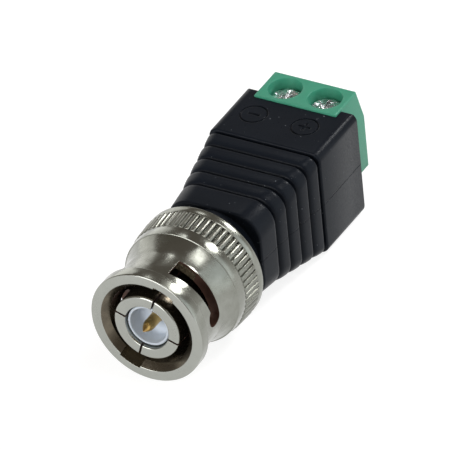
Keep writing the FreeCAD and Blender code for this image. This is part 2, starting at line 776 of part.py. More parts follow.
def block_blank():
    """Outer form of the terminal block, with its edges broken."""
    profile = [
        (block_y, block_base_z), (block_y, step_z), (step_y, step_z), (step_y, block_top_z),
        (block_end_y - SLOPE_DEPTH, block_top_z), (block_end_y, block_top_z - SLOPE_H),
        (block_end_y, block_base_z),
    ]
    points = [vec(-block_half_w, y, z) for y, z in profile]
    solid = Part.Face(Part.makePolygon(points + [points[0]])).extrude(X_AXIS * (2 * block_half_w))
    ends = [
        edge for edge in solid.Edges
        if edge.BoundBox.XLength < SEAT_GAP and edge.BoundBox.YMin > step_y - SEAT_GAP
        and edge.BoundBox.ZMax > block_base_z + BLOCK_EDGE
    ]
    return solid.makeChamfer(BLOCK_EDGE, ends)


def pole_cuts(x):
    """Cage shaft, channel, wire entry, slots and screw hole of the pole at x."""
    half = CAGE_HALF_W + RUN_GAP
    floor = cage_base_z - FACE_GAP
    shaft_y = screw_y - CAGE_DEPTH / 2 - RUN_GAP
    shaft_end = screw_y + CAGE_DEPTH / 2 + RUN_GAP
    pin_half = BAR_PIN_HALF_W + SEAT_GAP
    bar_half = bar_half_w() + SEAT_GAP
    entry_half = CAGE_HALF_W - CAGE_WALL
    entry_low = cage_base_z + CAGE_BASE_T
    entry_high = bar_z - ENTRY_SIDE_GAP
    front = block_y - SHELL_GAP
    return [
        box((x - half, front, floor), (x + half, shaft_end, cage_top_z + FACE_GAP)),
        box((x - half, shaft_y, floor), (x + half, shaft_end, shaft_top_z)),
        box((x - pin_half, front, block_base_z), (x + pin_half, bar_pin_end_y + SEAT_GAP, floor)),
        box((x - bar_half, shaft_end, bar_z - SEAT_GAP),
            (x + bar_half, shaft_end + BAR_TIP_LEN + SEAT_GAP, bar_top_z + SEAT_GAP)),
        box((x - entry_half, shaft_end, entry_low), (x + entry_half, block_end_y, entry_high)),
        funnel(x, entry_half, entry_low, entry_high),
        post(SCREW_R + RUN_GAP, x, screw_y, shaft_top_z - FACE_GAP, ledge_z + FACE_GAP),
        post(SCREW_HOLE_R, x, screw_y, ledge_z, block_top_z + BLOCK_EDGE),
    ]


def funnel(x, half, low, high):
    """Sloped mouth of a wire entry."""
    wires = []
    for y, grow in ((block_end_y - FUNNEL, 0), (block_end_y, FUNNEL)):
        corners = [
            vec(x - half - grow, y, low - grow), vec(x + half + grow, y, low - grow),
            vec(x + half + grow, y, high + grow), vec(x - half - grow, y, high + grow),
        ]
        wires.append(Part.makePolygon(corners + [corners[0]]))
    return Part.makeLoft(wires, True, True)


def terminal_housing():
    """Moulded terminal block with its two clamp chambers."""
    block = block_blank()
    for x in poles():
        block = block.cut(pole_cuts(x))
    return block


def bar_half_w():
    """Half width of the contact bar, which passes through the cage."""
    return CAGE_HALF_W - CAGE_WALL - BAR_SIDE_GAP


def contact_bar(x):
    """Fixed bar that the wire is pressed against, bent down to its solder pin."""
    front = block_y + BAR_INSET
    end = screw_y + CAGE_DEPTH / 2 + RUN_GAP + BAR_TIP_LEN
    half = bar_half_w()
    flat = box((x - half, front, bar_z), (x + half, end, bar_top_z))
    leg = box((x - BAR_PIN_HALF_W, front, bar_pin_z), (x + BAR_PIN_HALF_W, front + BAR_T, bar_top_z))
    return fuse_all([flat, leg])


def clamp_cage(x):
    """Rising cage: a rectangular loop with the screw's hole through its head and its sides."""
    y0 = screw_y - CAGE_DEPTH / 2
    y1 = screw_y + CAGE_DEPTH / 2
    inner = CAGE_HALF_W - CAGE_WALL
    outside = box((x - CAGE_HALF_W, y0, cage_base_z), (x + CAGE_HALF_W, y1, cage_top_z))
    inside = box((x - inner, y0, cage_base_z + CAGE_BASE_T), (x + inner, y1, cage_head_z))
    thread_end = cage_head_z - CAGE_TRAVEL - FACE_GAP
    hole = post(SCREW_R + RUN_GAP, x, screw_y, thread_end, cage_top_z + FACE_GAP)
    return outside.cut([inside, hole])


def clamp_screw(x):
    """Clamp screw with a slot and a cross in its head."""
    head_r = SCREW_HOLE_R - SCREW_HEAD_GAP
    tip = bar_top_z + SEAT_GAP
    top = screw_head_z + SCREW_HEAD_T
    head = post(head_r, x, screw_y, screw_head_z, top)
    rim = [edge for edge in head.Edges if abs(edge.BoundBox.ZMin - top) < SEAT_GAP]
    head = head.makeChamfer(SCREW_HEAD_EDGE, rim)
    screw = head.fuse(post(SCREW_R, x, screw_y, tip, screw_head_z))
    half = SLOT_W / 2
    deep = top - SLOT_D
    high = top + SLOT_D
    cross = CROSS_LEN / 2
    slot = box((x - 2 * head_r, screw_y - half, deep), (x + 2 * head_r, screw_y + half, high))
    short = box((x - half, screw_y - cross, deep), (x + half, screw_y + cross, high))
    return screw.cut([slot, short]).removeSplitter()


def export(name, shape):
    """Write one sub-part to its own file."""
    solids = shape.Solids
    for solid in solids:
        if not solid.isValid():
            raise ValueError(name + " has a solid that is not valid")
    result = solids[0] if len(solids) == 1 else Part.makeCompound(solids)
    result.exportStep("parts/" + name + ".step")
    print(name, len(solids), "solid", round(sum(solid.Volume for solid in solids), 2), "mm3")


def main():
    """Build and write every sub-part."""
    os.makedirs("parts", exist_ok=True)
    export("coupling_nut", coupling_nut())
    export("plug_body", plug_body())
    export("rear_body", rear_body())
    export("front_insulator", front_insulator())
    export("rear_insulator", rear_insulator())
    export("centre_pin", centre_pin())
    export("sealing_gasket", sealing_gasket())
    export("wave_washer", wave_washer())
    export("thrust_washer", thrust_washer())
    export("retaining_ring", retaining_ring())
    export("ground_lug", ground_lug())
    export("signal_jumper", signal_jumper())
    export("ground_jumper", ground_jumper())
    export("upper_shell", housing_half(True))
    export("lower_shell", housing_half(False))
    export("terminal_housing", terminal_housing())
    for side, x in zip(("left", "right"), poles()):
        export("contact_bar_" + side, contact_bar(x))
        export("clamp_cage_" + side, clamp_cage(x))
        export("clamp_screw_" + side, clamp_screw(x))


main()
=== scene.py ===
"""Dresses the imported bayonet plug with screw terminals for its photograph.

Blender works in metres here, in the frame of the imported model: the plug's axis is Y with
its mouth towards -Y, X is to the right seen from the mouth, and Z is up towards the clamp
screws. The sizes in this file are in millimetres, and MM turns them into metres.
"""
import logging
import math
from collections.abc import Callable
from dataclasses import dataclass
from enum import Enum
from functools import cache

import bmesh
import bpy
from mathutils import Matrix, Vector


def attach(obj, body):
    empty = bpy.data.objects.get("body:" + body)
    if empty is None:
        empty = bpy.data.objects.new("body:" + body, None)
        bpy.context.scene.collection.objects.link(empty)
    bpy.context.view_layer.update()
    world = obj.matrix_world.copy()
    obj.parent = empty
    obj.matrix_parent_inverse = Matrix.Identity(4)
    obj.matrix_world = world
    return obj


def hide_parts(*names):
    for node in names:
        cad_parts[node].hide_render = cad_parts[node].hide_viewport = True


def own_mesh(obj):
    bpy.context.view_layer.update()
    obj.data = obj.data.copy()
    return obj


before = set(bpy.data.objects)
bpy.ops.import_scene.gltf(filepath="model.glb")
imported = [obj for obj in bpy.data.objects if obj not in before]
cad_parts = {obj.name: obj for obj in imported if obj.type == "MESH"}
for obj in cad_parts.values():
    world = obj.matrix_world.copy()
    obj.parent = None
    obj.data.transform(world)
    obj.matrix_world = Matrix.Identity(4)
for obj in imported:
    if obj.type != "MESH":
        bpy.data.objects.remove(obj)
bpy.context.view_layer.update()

Piece = bpy.types.Object
Material = bpy.types.Material
Tree = bpy.types.NodeTree
Socket = bpy.types.NodeSocket
Triple = tuple[float, float, float]
Outline = list[tuple[float, float]]

MM = 0.001
# Vertices this close are one, and edges this short go, in millimetres
MERGE_GAP = 0.001
TINY_EDGE = 0.0005
# A vertex this close to the edge of a feature counts as on it, in millimetres
NEAR = 0.01
# Sections of the housing are told apart by more than this, in millimetres
SECTION_GAP = 0.004
# Faces that meet flatter than this are one, and edges sharper than this are rounded
FLAT_ANGLE = 1.0
SHARP_ANGLE = 28.0
BEVEL_SAMPLES = 6
LOG = logging.getLogger("scene")


# Shared helpers for modelling


def clear_selection() -> None:
    """Leave edit mode and deselect every object."""
    if bpy.context.object is not None and bpy.context.object.mode != "OBJECT":
        bpy.ops.object.mode_set(mode="OBJECT")
    bpy.ops.object.select_all(action="DESELECT")


def take(piece: Piece) -> None:
    """Select one piece alone and make it active.

    Args:
        piece: The piece.
    """
    clear_selection()
    piece.select_set(True)
    bpy.context.view_layer.objects.active = piece


def edit_all(piece: Piece) -> None:
    """Open a piece in edit mode with everything selected.

    Args:
        piece: The piece.
    """
    take(piece)
    bpy.ops.object.mode_set(mode="EDIT")
    bpy.ops.mesh.select_mode(type="VERT")
    bpy.ops.mesh.select_all(action="SELECT")


def settle() -> None:
    """Put the active piece's place, turn and scale into its mesh."""
    bpy.ops.object.transform_apply(location=True, rotation=True, scale=True)


def pick(piece: Piece, test: Callable[[Vector], bool]) -> None:
    """Select the vertices of the piece in edit mode that pass a test on their place.

    Args:
        piece: The piece, open in edit mode.
        test: Takes a place in millimetres and says whether the vertex is wanted.
    """
    bpy.ops.mesh.select_all(action="DESELECT")
    mesh = bmesh.from_edit_mesh(piece.data)
    for vertex in mesh.verts:
        if test(vertex.co / MM):
            vertex.select_set(True)
    mesh.select_flush(True)
    bmesh.update_edit_mesh(piece.data)


def close_up(piece: Piece) -> None:
    """Merge doubled vertices and turn every face outwards.

    Args:
        piece: The piece, in any mode.
    """
    edit_all(piece)
    bpy.ops.mesh.remove_doubles(threshold=MERGE_GAP * MM)
    bpy.ops.mesh.dissolve_degenerate(threshold=TINY_EDGE * MM)
    bpy.ops.mesh.normals_make_consistent(inside=False)
    bpy.ops.object.mode_set(mode="OBJECT")


def rounded(corners: list[Triple], steps: int = 4) -> Outline:
    """Round the corners of a closed outline.

    Args:
        corners: Each corner as its place along the axis, its distance from the axis and
            the radius of its rounding. A radius of zero keeps it sharp.
        steps: Straight runs in each rounding.

    Returns:
        The outline's points, with the first one again at the end.
    """
    outline: Outline = []
    count = len(corners)
    for index, (along, out, radius) in enumerate(corners):
        corner = Vector((along, out))
        if radius == 0:
            outline.append((along, out))
            continue
        before = Vector(corners[index - 1][:2])
        after = Vector(corners[(index + 1) % count][:2])
        back = (before - corner).normalized()
        ahead = (after - corner).normalized()
        half = back.angle(ahead) / 2
        middle = corner + (back + ahead).normalized() * radius / math.sin(half)
        first = corner + back * radius / math.tan(half) - middle
        last = corner + ahead * radius / math.tan(half) - middle
        for step in range(steps + 1):
            share = step / steps
            arm = (first * (1 - share) + last * share).normalized() * radius
            outline.append(tuple(middle + arm))
    return outline + [outline[0]]


def drawn(name: str, places: list[Triple]) -> Piece:
    """Draw a line of edges by extruding one vertex from place to place.

    Args:
        name: The new piece's name.
        places: The vertices' places.

    Returns:
        The piece, open in edit mode.
    """
    clear_selection()
    start = Vector(places[0]) * MM
    bpy.ops.mesh.primitive_plane_add(size=0.1 * MM, location=start)
    piece = bpy.context.object
    piece.name = name
    settle()
    edit_all(piece)
    bpy.ops.mesh.merge(type="CENTER")
    for here, following in zip(places, places[1:]):
        step = (Vector(following) - Vector(here)) * MM
        bpy.ops.mesh.extrude_region_move(TRANSFORM_OT_translate={"value": tuple(step)})
    return piece


def spun(name: str, outline: Outline, steps: int = 128, upright: bool = False) -> Piece:
    """Draw an outline and spin it a full turn.

    Args:
        name: The new piece's name.
        outline: Points as their place along the axis and their distance from it.
        steps: Columns in the full turn.
        upright: True spins about Z, and False about the plug's axis.

    Returns:
        The closed piece.
    """
    if upright:
        places = [(out, 0.0, along) for along, out in outline]
        axis = (0.0, 0.0, 1.0)
    else:
        places = [(out, along, 0.0) for along, out in outline]
        axis = (0.0, 1.0, 0.0)
    piece = drawn(name, places)
    bpy.ops.mesh.select_all(action="SELECT")
    bpy.ops.mesh.spin(steps=steps, angle=math.tau, center=(0.0, 0.0, 0.0), axis=axis)
    close_up(piece)
    return piece


def brick(name: str, low: Triple, high: Triple) -> Piece:
    """Box between two opposite corners, as a blank or a cutter.

    Args:
        name: The new piece's name.
        low: The corner with the lowest coordinates.
        high: The corner with the highest coordinates.

    Returns:
        The box.
    """
    clear_selection()
    middle = (Vector(low) + Vector(high)) / 2 * MM
    bpy.ops.mesh.primitive_cube_add(size=1.0, location=middle)
    piece = bpy.context.object
    piece.name = name
    piece.scale = (Vector(high) - Vector(low)) * MM
    settle()
    return piece


def turned(piece: Piece, angle: float, axis: str) -> Piece:
    """Turn a piece about an axis through the origin.

    Args:
        piece: The piece.
        angle: The turn in degrees.
        axis: X, Y or Z.

    Returns:
        The same piece.
    """
    take(piece)
    piece.rotation_euler["XYZ".index(axis)] = math.radians(angle)
    settle()
    return piece


def rolled(piece: Piece, angle: float) -> Piece:
    """Turn a piece about the plug's axis by an angle from +X towards +Z."""
    return turned(piece, -angle, "Y")


def angle_of(place: Vector) -> float:
    """Angle of a place about the plug's axis, in degrees from +X towards +Z."""
    return math.degrees(math.atan2(place.z, place.x))


def moved(piece: Piece, shift: Triple) -> Piece:
    """Shift a piece and keep its object at the origin.

    Args:
        piece: The piece.
        shift: The shift in millimetres.

    Returns:
        The same piece.
    """
    take(piece)
    piece.location = Vector(shift) * MM
    settle()
    return piece


def twin(piece: Piece, name: str) -> Piece:
    """Copy a piece together with its mesh.

    Args:
        piece: The piece, which stays as it is.
        name: The copy's name.

    Returns:
        The copy.
    """
    take(piece)
    bpy.ops.object.duplicate()
    copy = bpy.context.object
    copy.name = name
    return copy


def combine(piece: Piece, tools: list[Piece], operation: str = "DIFFERENCE") -> Piece:
    """Apply a boolean with each tool in turn, and delete the tools.

    Args:
        piece: The piece that is changed.
        tools: The cutters or additions, which pass their material to the faces they make.
        operation: The boolean modifier's operation.

    Returns:
        The changed piece.
    """
    for tool in tools:
        modifier = piece.modifiers.new("combine", "BOOLEAN")
        modifier.operation = operation
        modifier.solver = "EXACT"
        modifier.material_mode = "TRANSFER"
        modifier.object = tool
        take(piece)
        bpy.ops.object.modifier_apply(modifier=modifier.name)
        bpy.data.objects.remove(tool, do_unlink=True)
    return piece


def softened(node: str, name: str, width: float, segments: int = 2) -> Piece:
    """Copy a CAD node's form and round its sharp edges.

    Args:
        node: The CAD node, which stays as it is.
        name: The new piece's name.
        width: The width of the rounding in millimetres.
        segments: Straight runs in each rounding.

    Returns:
        The new piece.
    """
    piece = bpy.data.objects.new(name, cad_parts[node].data.copy())
    bpy.context.scene.collection.objects.link(piece)
    edit_all(piece)
    bpy.ops.mesh.remove_doubles(threshold=TINY_EDGE * MM)
    bpy.ops.mesh.dissolve_limited(angle_limit=math.radians(FLAT_ANGLE))
    bpy.ops.mesh.customdata_custom_splitnormals_clear()
    bpy.ops.object.mode_set(mode="OBJECT")
    modifier = piece.modifiers.new("rounded_edges", "BEVEL")
    modifier.width = width * MM
    modifier.segments = segments
    modifier.limit_method = "ANGLE"
    modifier.angle_limit = math.radians(SHARP_ANGLE)
    bpy.ops.object.modifier_apply(modifier=modifier.name)
    return piece


def place_on(piece: Piece, body: str, node: str, angle: float = 32.0) -> None:
    """Smooth a finished piece, hand it to its body and let it stand for its node.

    Args:
        piece: The finished piece.
        body: The body that it rides on.
        node: The CAD node that it replaces.
        angle: Edges sharper than this stay sharp.
    """
    take(piece)
    bpy.ops.object.shade_smooth_by_angle(angle=math.radians(angle))
    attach(piece, body)
    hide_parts(node)
    LOG.info("%s: %d faces for %s", piece.name, len(piece.data.polygons), node)


# Shared helpers for materials


def linear(code: str) -> tuple[float, float, float, float]:
    """Turn an sRGB hex value into a linear colour.

    Args:
        code: The colour as six hex digits, with or without a leading hash.

    Returns:
        Red, green, blue and an alpha of one.
    """
    digits = code.lstrip("#")
    parts = [int(digits[start:start + 2], 16) / 255 for start in (0, 2, 4)]
    red, green, blue = (
        part / 12.92 if part <= 0.04045 else ((part + 0.055) / 1.055) ** 2.4 for part in parts
    )
    return red, green, blue, 1.0


def per_size(size: float) -> float:
    """Texture scale on Object coordinates that gives features of a size in millimetres."""
    return 1 / (size * MM)


def add_node(
    tree: Tree,
    kind: str,
    settings: dict[str | int, object] | None = None,
    links: dict[str | int, Socket] | None = None,
) -> bpy.types.Node:
    """Add a node with its settings and its incoming links.

    Args:
        tree: The material's or world's tree.
        kind: The node's type name.
        settings: Values by name. A name with a capital, or a number, is a socket, and
            another name is a property.
        links: Source sockets by the name or number of the socket that they feed.

    Returns:
        The new node.
    """
    node = tree.nodes.new(kind)
    for name, value in (settings or {}).items():
        if isinstance(name, int) or name[0].isupper():
            node.inputs[name].default_value = value
        else:
            setattr(node, name, value)
    for name, source in (links or {}).items():
        tree.links.new(source, node.inputs[name])
    return node


def new_material(name: str) -> tuple[Material, Tree]:
    """Make an empty node material.

    Args:
        name: The material's name.

    Returns:
        The material and its node tree, with no nodes in it.
    """
    material = bpy.data.materials.new(name)
    material.use_nodes = True
    material.node_tree.nodes.clear()
    return material, material.node_tree


class Pattern(Enum):
    """How a surface's fine pattern lies on the piece."""

    GRAIN = "grain"
    TURNED = "turned"


def pattern_vector(tree: Tree, pattern: Pattern) -> Socket:
    """Coordinates for a pattern, in metres.

    Args:
        tree: The material's tree.
        pattern: GRAIN is the same in every direction. TURNED runs round the plug's axis,
            so it changes with the radius and the place along the axis alone.

    Returns:
        The socket that holds the coordinates.
    """
    place = add_node(tree, "ShaderNodeTexCoord").outputs["Object"]
    if pattern is Pattern.GRAIN:
        return place
    parts = add_node(tree, "ShaderNodeSeparateXYZ", links={"Vector": place}).outputs
    flat = add_node(tree, "ShaderNodeCombineXYZ", links={"X": parts["X"], "Y": parts["Z"]})
    radius = add_node(
        tree, "ShaderNodeVectorMath", {"operation": "LENGTH"}, {"Vector": flat.outputs[0]}
    ).outputs["Value"]
    return add_node(
        tree, "ShaderNodeCombineXYZ", links={"X": radius, "Y": parts["Y"]}
    ).outputs[0]


# Finishes


@dataclass(frozen=True)
class PlatedMetal:
    """Metal with a thin bright plating.

    The colour is the plating's reflection at right angles; some finishes below are darkened
    as painted shade, and one is whitened as a painted highlight. Fine tool lines or grain bend
    the highlight, hazy patches of handling spread it, and facets break it up.
    """

    name: str
    colour: str
    shade: str
    roughness: float = 0.16
    haze: float = 0.16
    haze_size: float = 2.5
    line_size: float = 0.12
    line_height: float = 0.0016
    edge_radius: float = 0.06
    metallic: float = 1.0
    facet_size: float = 0.0
    facet_tilt: float = 0.8
    pattern: Pattern = Pattern.TURNED

    @cache
    def material(self) -> Material:
        """Build the plating's material, once.

        Returns:
            The material, which all pieces with this plating share.
        """
        material, tree = new_material(self.name)
        place = add_node(tree, "ShaderNodeTexCoord").outputs["Object"]
        haze = add_node(
            tree, "ShaderNodeTexNoise",
            {"Scale": per_size(self.haze_size), "Detail": 5.0, "Roughness": 0.62},
            {"Vector": place},
        ).outputs["Fac"]
        rough = add_node(
            tree, "ShaderNodeMapRange",
            {"From Min": 0.38, "From Max": 0.72, "To Min": self.roughness,
             "To Max": self.roughness + self.haze},
            {"Value": haze},
        ).outputs["Result"]
        colour = add_node(
            tree, "ShaderNodeMixRGB",
            {"Color1": linear(self.colour), "Color2": linear(self.shade)}, {"Fac": haze},
        ).outputs["Color"]
        lines = add_node(
            tree, "ShaderNodeTexNoise", {"Scale": per_size(self.line_size), "Detail": 3.0},
            {"Vector": pattern_vector(tree, self.pattern)},
        ).outputs["Fac"]
        edges = add_node(
            tree, "ShaderNodeBevel", {"samples": BEVEL_SAMPLES, "Radius": self.edge_radius * MM}
        ).outputs["Normal"]
        if self.facet_size:
            edges = self.faceted(tree, place, edges)
        bump = add_node(
            tree, "ShaderNodeBump", {"Strength": 0.6, "Distance": self.line_height * MM},
            {"Height": lines, "Normal": edges},
        ).outputs["Normal"]
        shader = add_node(
            tree, "ShaderNodeBsdfPrincipled", {"Metallic": self.metallic},
            {"Base Color": colour, "Roughness": rough, "Normal": bump},
        )
        add_node(
            tree, "ShaderNodeOutputMaterial", links={"Surface": shader.outputs["BSDF"]}
        )
        return material

    def faceted(self, tree: Tree, place: Socket, normal: Socket) -> Socket:
        """Tilt each small cell of a surface its own way, like the facets of a struck head.

        Args:
            tree: The material's tree.
            place: The coordinates of the cells.
            normal: The smooth surface's normal.

        Returns:
            The socket with the tilted normal.
        """
        cells = add_node(
            tree, "ShaderNodeTexVoronoi", {"Scale": per_size(self.facet_size)},
            {"Vector": place},
        ).outputs["Color"]
        centred = add_node(
            tree, "ShaderNodeVectorMath", {"operation": "SUBTRACT", 1: (0.5, 0.5, 0.5)},
            {0: cells},
        ).outputs[0]
        tilt = add_node(
            tree, "ShaderNodeVectorMath", {"operation": "SCALE", "Scale": 2 * self.facet_tilt},
            {0: centred},
        ).outputs[0]
        joined = add_node(
            tree, "ShaderNodeVectorMath", {"operation": "ADD"}, {0: normal, 1: tilt}
        ).outputs[0]
        return add_node(
            tree, "ShaderNodeVectorMath", {"operation": "NORMALIZE"}, {0: joined}
        ).outputs[0]


@dataclass(frozen=True)
class MouldedPlastic:
    """Moulded plastic or rubber with the fine texture of its mould.

    A slow change of colour shows the flow of the melt, and the mould's spark texture
    breaks the highlight into a soft sheen.
    """

    name: str
    colour: str
    shade: str
    roughness: float = 0.42
    roughness_spread: float = 0.12
    ior: float = 1.52
    flow_size: float = 4.0
    grain_size: float = 0.18
    grain_height: float = 0.006
    edge_radius: float = 0.12
    specular: float = 0.5
    subsurface: float = 0.0
    dust: float = 0.0
    dust_size: float = 0.3
    dust_colour: str = "#A9AFB6"

    @cache
    def material(self) -> Material:
        """Build the plastic's material, once.

        Returns:
            The material, which all pieces of this plastic share.
        """
        material, tree = new_material(self.name)
        place = pattern_vector(tree, Pattern.GRAIN)
        flow = add_node(
            tree, "ShaderNodeTexNoise", {"Scale": per_size(self.flow_size), "Detail": 6.0},
            {"Vector": place},
        ).outputs["Fac"]
        colour = add_node(
            tree, "ShaderNodeMixRGB",
            {"Color1": linear(self.colour), "Color2": linear(self.shade)}, {"Fac": flow},
        ).outputs["Color"]
        if self.dust:
            colour = self.dusty(tree, colour, place)
        grain = add_node(
            tree, "ShaderNodeTexNoise", {"Scale": per_size(self.grain_size), "Detail": 4.0},
            {"Vector": place},
        ).outputs["Fac"]
        rough = add_node(
            tree, "ShaderNodeMapRange",
            {"From Min": 0.3, "From Max": 0.7, "To Min": self.roughness,
             "To Max": self.roughness + self.roughness_spread},
            {"Value": grain},
        ).outputs["Result"]
        edges = add_node(
            tree, "ShaderNodeBevel", {"samples": BEVEL_SAMPLES, "Radius": self.edge_radius * MM}
        ).outputs["Normal"]
        bump = add_node(
            tree, "ShaderNodeBump", {"Strength": 0.7, "Distance": self.grain_height * MM},
            {"Height": grain, "Normal": edges},
        ).outputs["Normal"]
        shader = add_node(
            tree, "ShaderNodeBsdfPrincipled",
            {"IOR": self.ior, "Specular IOR Level": self.specular,
             "Subsurface Weight": self.subsurface,
             "Subsurface Radius": (1.0, 1.0, 1.0), "Subsurface Scale": 1.0 * MM},
            {"Base Color": colour, "Roughness": rough, "Normal": bump},
        )
        add_node(
            tree, "ShaderNodeOutputMaterial", links={"Surface": shader.outputs["BSDF"]}
        )
        return material

    def dusty(self, tree: Tree, colour: Socket, place: Socket) -> Socket:
        """Scatter a few pale specks of dust over a colour.

        Args:
            tree: The material's tree.
            colour: The clean colour.
            place: The coordinates of the specks.

        Returns:
            The socket with the dusty colour.
        """
        specks = add_node(
            tree, "ShaderNodeTexNoise", {"Scale": per_size(self.dust_size), "Detail": 1.0},
            {"Vector": place},
        ).outputs["Fac"]
        cover = add_node(
            tree, "ShaderNodeMapRange",
            {"From Min": 0.77, "From Max": 0.83, "To Min": 0.0, "To Max": self.dust},
            {"Value": specks},
        ).outputs["Result"]
        return add_node(
            tree, "ShaderNodeMixRGB", {"Color2": linear(self.dust_colour)},
            {"Color1": colour, "Fac": cover},
        ).outputs["Color"]


def dress(piece: Piece, *finishes: PlatedMetal | MouldedPlastic) -> None:
    """Give a piece its finishes.

    Args:
        piece: The piece.
        finishes: The first one goes all over the piece, and its faces can then take the
            others by their number.
    """
    piece.data.materials.clear()
    for finish in finishes:
        piece.data.materials.append(finish.material())


# Bright nickel over turned brass: warm grey mirror with a trace of tool lines
BRIGHT_NICKEL = PlatedMetal("bright_nickel_on_turned_brass", "#A8AAA4", "#999B95")
# The same plating on the nut's outside, painted darker as painted shade of the shadowed floor it
# reflects; its dark mottle is partly stains and partly painted reflection
STAINED_AND_SHADED_NICKEL = PlatedMetal(
    "stained_nickel_with_painted_shade_on_turned_brass", "#A1A39D", "#6E6F65", roughness=0.15, haze=0.2,
    line_size=0.3, line_height=0.008,
)
# The knurl's plating: the rolled teeth are never as smooth as a turned face, and its colour is
# painted darker as painted shade of the knurl
SHADED_KNURL_NICKEL = PlatedMetal(
    "nickel_with_painted_shade_on_rolled_knurl", "#8C8D86", "#73746C", roughness=0.26, haze=0.16,
    pattern=Pattern.GRAIN, line_height=0.006,
)
# Olive nickel in the bore, on its chamfer and on the contact's outside, painted darker as painted
# shade of these narrow recesses
BORE_NICKEL_PAINTED_SHADE = PlatedMetal(
    "olive_nickel_with_painted_shade_in_bore", "#787061", "#47423A", roughness=0.2, haze_size=1.4,
    line_size=0.3, line_height=0.014, metallic=0.92,
)
# Milled entry grooves: olive brass with the cutter's burrs
MILLED_BRASS = PlatedMetal(
    "thin_nickel_on_milled_brass", "#B3A88F", "#5F5543", roughness=0.16, haze_size=0.7,
    pattern=Pattern.GRAIN, line_height=0.05, metallic=0.85,
)
# Dark brown, half metallic and rough, on the walls of the cam slots and the contact's slits
DARK_BROWN_CUT_WALLS = PlatedMetal(
    "dark_brown_finish_on_cut_walls", "#6B4C40", "#3A2820", roughness=0.4, haze_size=1.2,
    pattern=Pattern.GRAIN, line_height=0.006, metallic=0.45,
)
# Flash gold over the turned pin: soft yellow highlight
GOLD_FLASH = PlatedMetal(
    "gold_flash_on_turned_pin", "#D9BA78", "#8F6D38", roughness=0.2, haze=0.1,
    haze_size=0.8,
)
# Zinc on folded steel: bright and a little cool
ZINC_PLATE = PlatedMetal(
    "zinc_on_folded_steel", "#E4E5E3", "#C6C9CB", roughness=0.2, haze_size=0.7,
    pattern=Pattern.GRAIN, line_size=0.35, line_height=0.01,
)
# Zinc on the screw heads, painted pure white and partly diffuse as a painted highlight brighter
# than the plating; the driver and the heading die leave facets
HEADED_ZINC_PAINTED_BRIGHT = PlatedMetal(
    "zinc_painted_bright_on_faceted_screw_heads", "#FFFFFF", "#F8FBFF", roughness=0.08, haze=0.06,
    haze_size=0.7, pattern=Pattern.GRAIN, line_size=0.3, line_height=0.012,
    metallic=0.85, facet_size=0.62, facet_tilt=0.62,
)
# Rolled spring steel: darker and duller than the plating
SPRING_STEEL = PlatedMetal(
    "rolled_spring_steel", "#8E8B86", "#6F6B66", roughness=0.3, pattern=Pattern.GRAIN
)
# Tin on stamped brass: pale and soft
TINNED_BRASS = PlatedMetal(
    "tin_on_stamped_brass", "#CFCFCB", "#B2B2AC", roughness=0.34, pattern=Pattern.GRAIN
)
# Moulded ABS: near black with a blue tint that is partly its own colour and partly a painted cool
# sheen; the spark texture softens its highlight
BLACK_ABS = MouldedPlastic(
    "black_moulded_abs", "#13171E", "#191E26", roughness=0.27, grain_size=0.22,
    specular=0.09, dust=0.5,
)
# Moulded nylon: even green with a soft highlight
GREEN_NYLON = MouldedPlastic(
    "green_moulded_nylon", "#379276", "#419D7F", roughness=0.4, ior=1.53, subsurface=0.05
)
# Moulded acetal: cool milky white that lets a little light in
MILKY_ACETAL = MouldedPlastic(
    "milky_moulded_acetal", "#D6DFEA", "#C4CFDC", roughness=0.45, ior=1.48,
    specular=0.3, subsurface=0.15, grain_height=0.001,
)
# Nitrile rubber: dark brown and dull
NITRILE = MouldedPlastic(
    "moulded_nitrile_rubber", "#33201B", "#271815", roughness=0.7, ior=1.5
)
# Extruded PVC on the jumper wires
RED_PVC = MouldedPlastic("red_extruded_pvc", "#A92A22", "#93231C", grain_height=0.002)
BLACK_PVC = MouldedPlastic("black_extruded_pvc", "#202022", "#2A2A2D", grain_height=0.002)

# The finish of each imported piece
NODE_FINISHES = {
    BRIGHT_NICKEL: ("coupling_nut", "plug_body", "rear_body"),
    MILKY_ACETAL: ("front_insulator", "rear_insulator"),
    GOLD_FLASH: ("centre_pin",),
    NITRILE: ("sealing_gasket",),
    SPRING_STEEL: ("wave_washer", "thrust_washer", "retaining_ring"),
    TINNED_BRASS: ("ground_lug", "contact_bar_left", "contact_bar_right"),
    RED_PVC: ("signal_jumper",),
    BLACK_PVC: ("ground_jumper",),
    BLACK_ABS: ("upper_shell", "lower_shell"),
    GREEN_NYLON: ("terminal_housing",),
    ZINC_PLATE: (
        "clamp_cage_left", "clamp_cage_right", "clamp_screw_left", "clamp_screw_right",
    ),
}


# Coupling nut


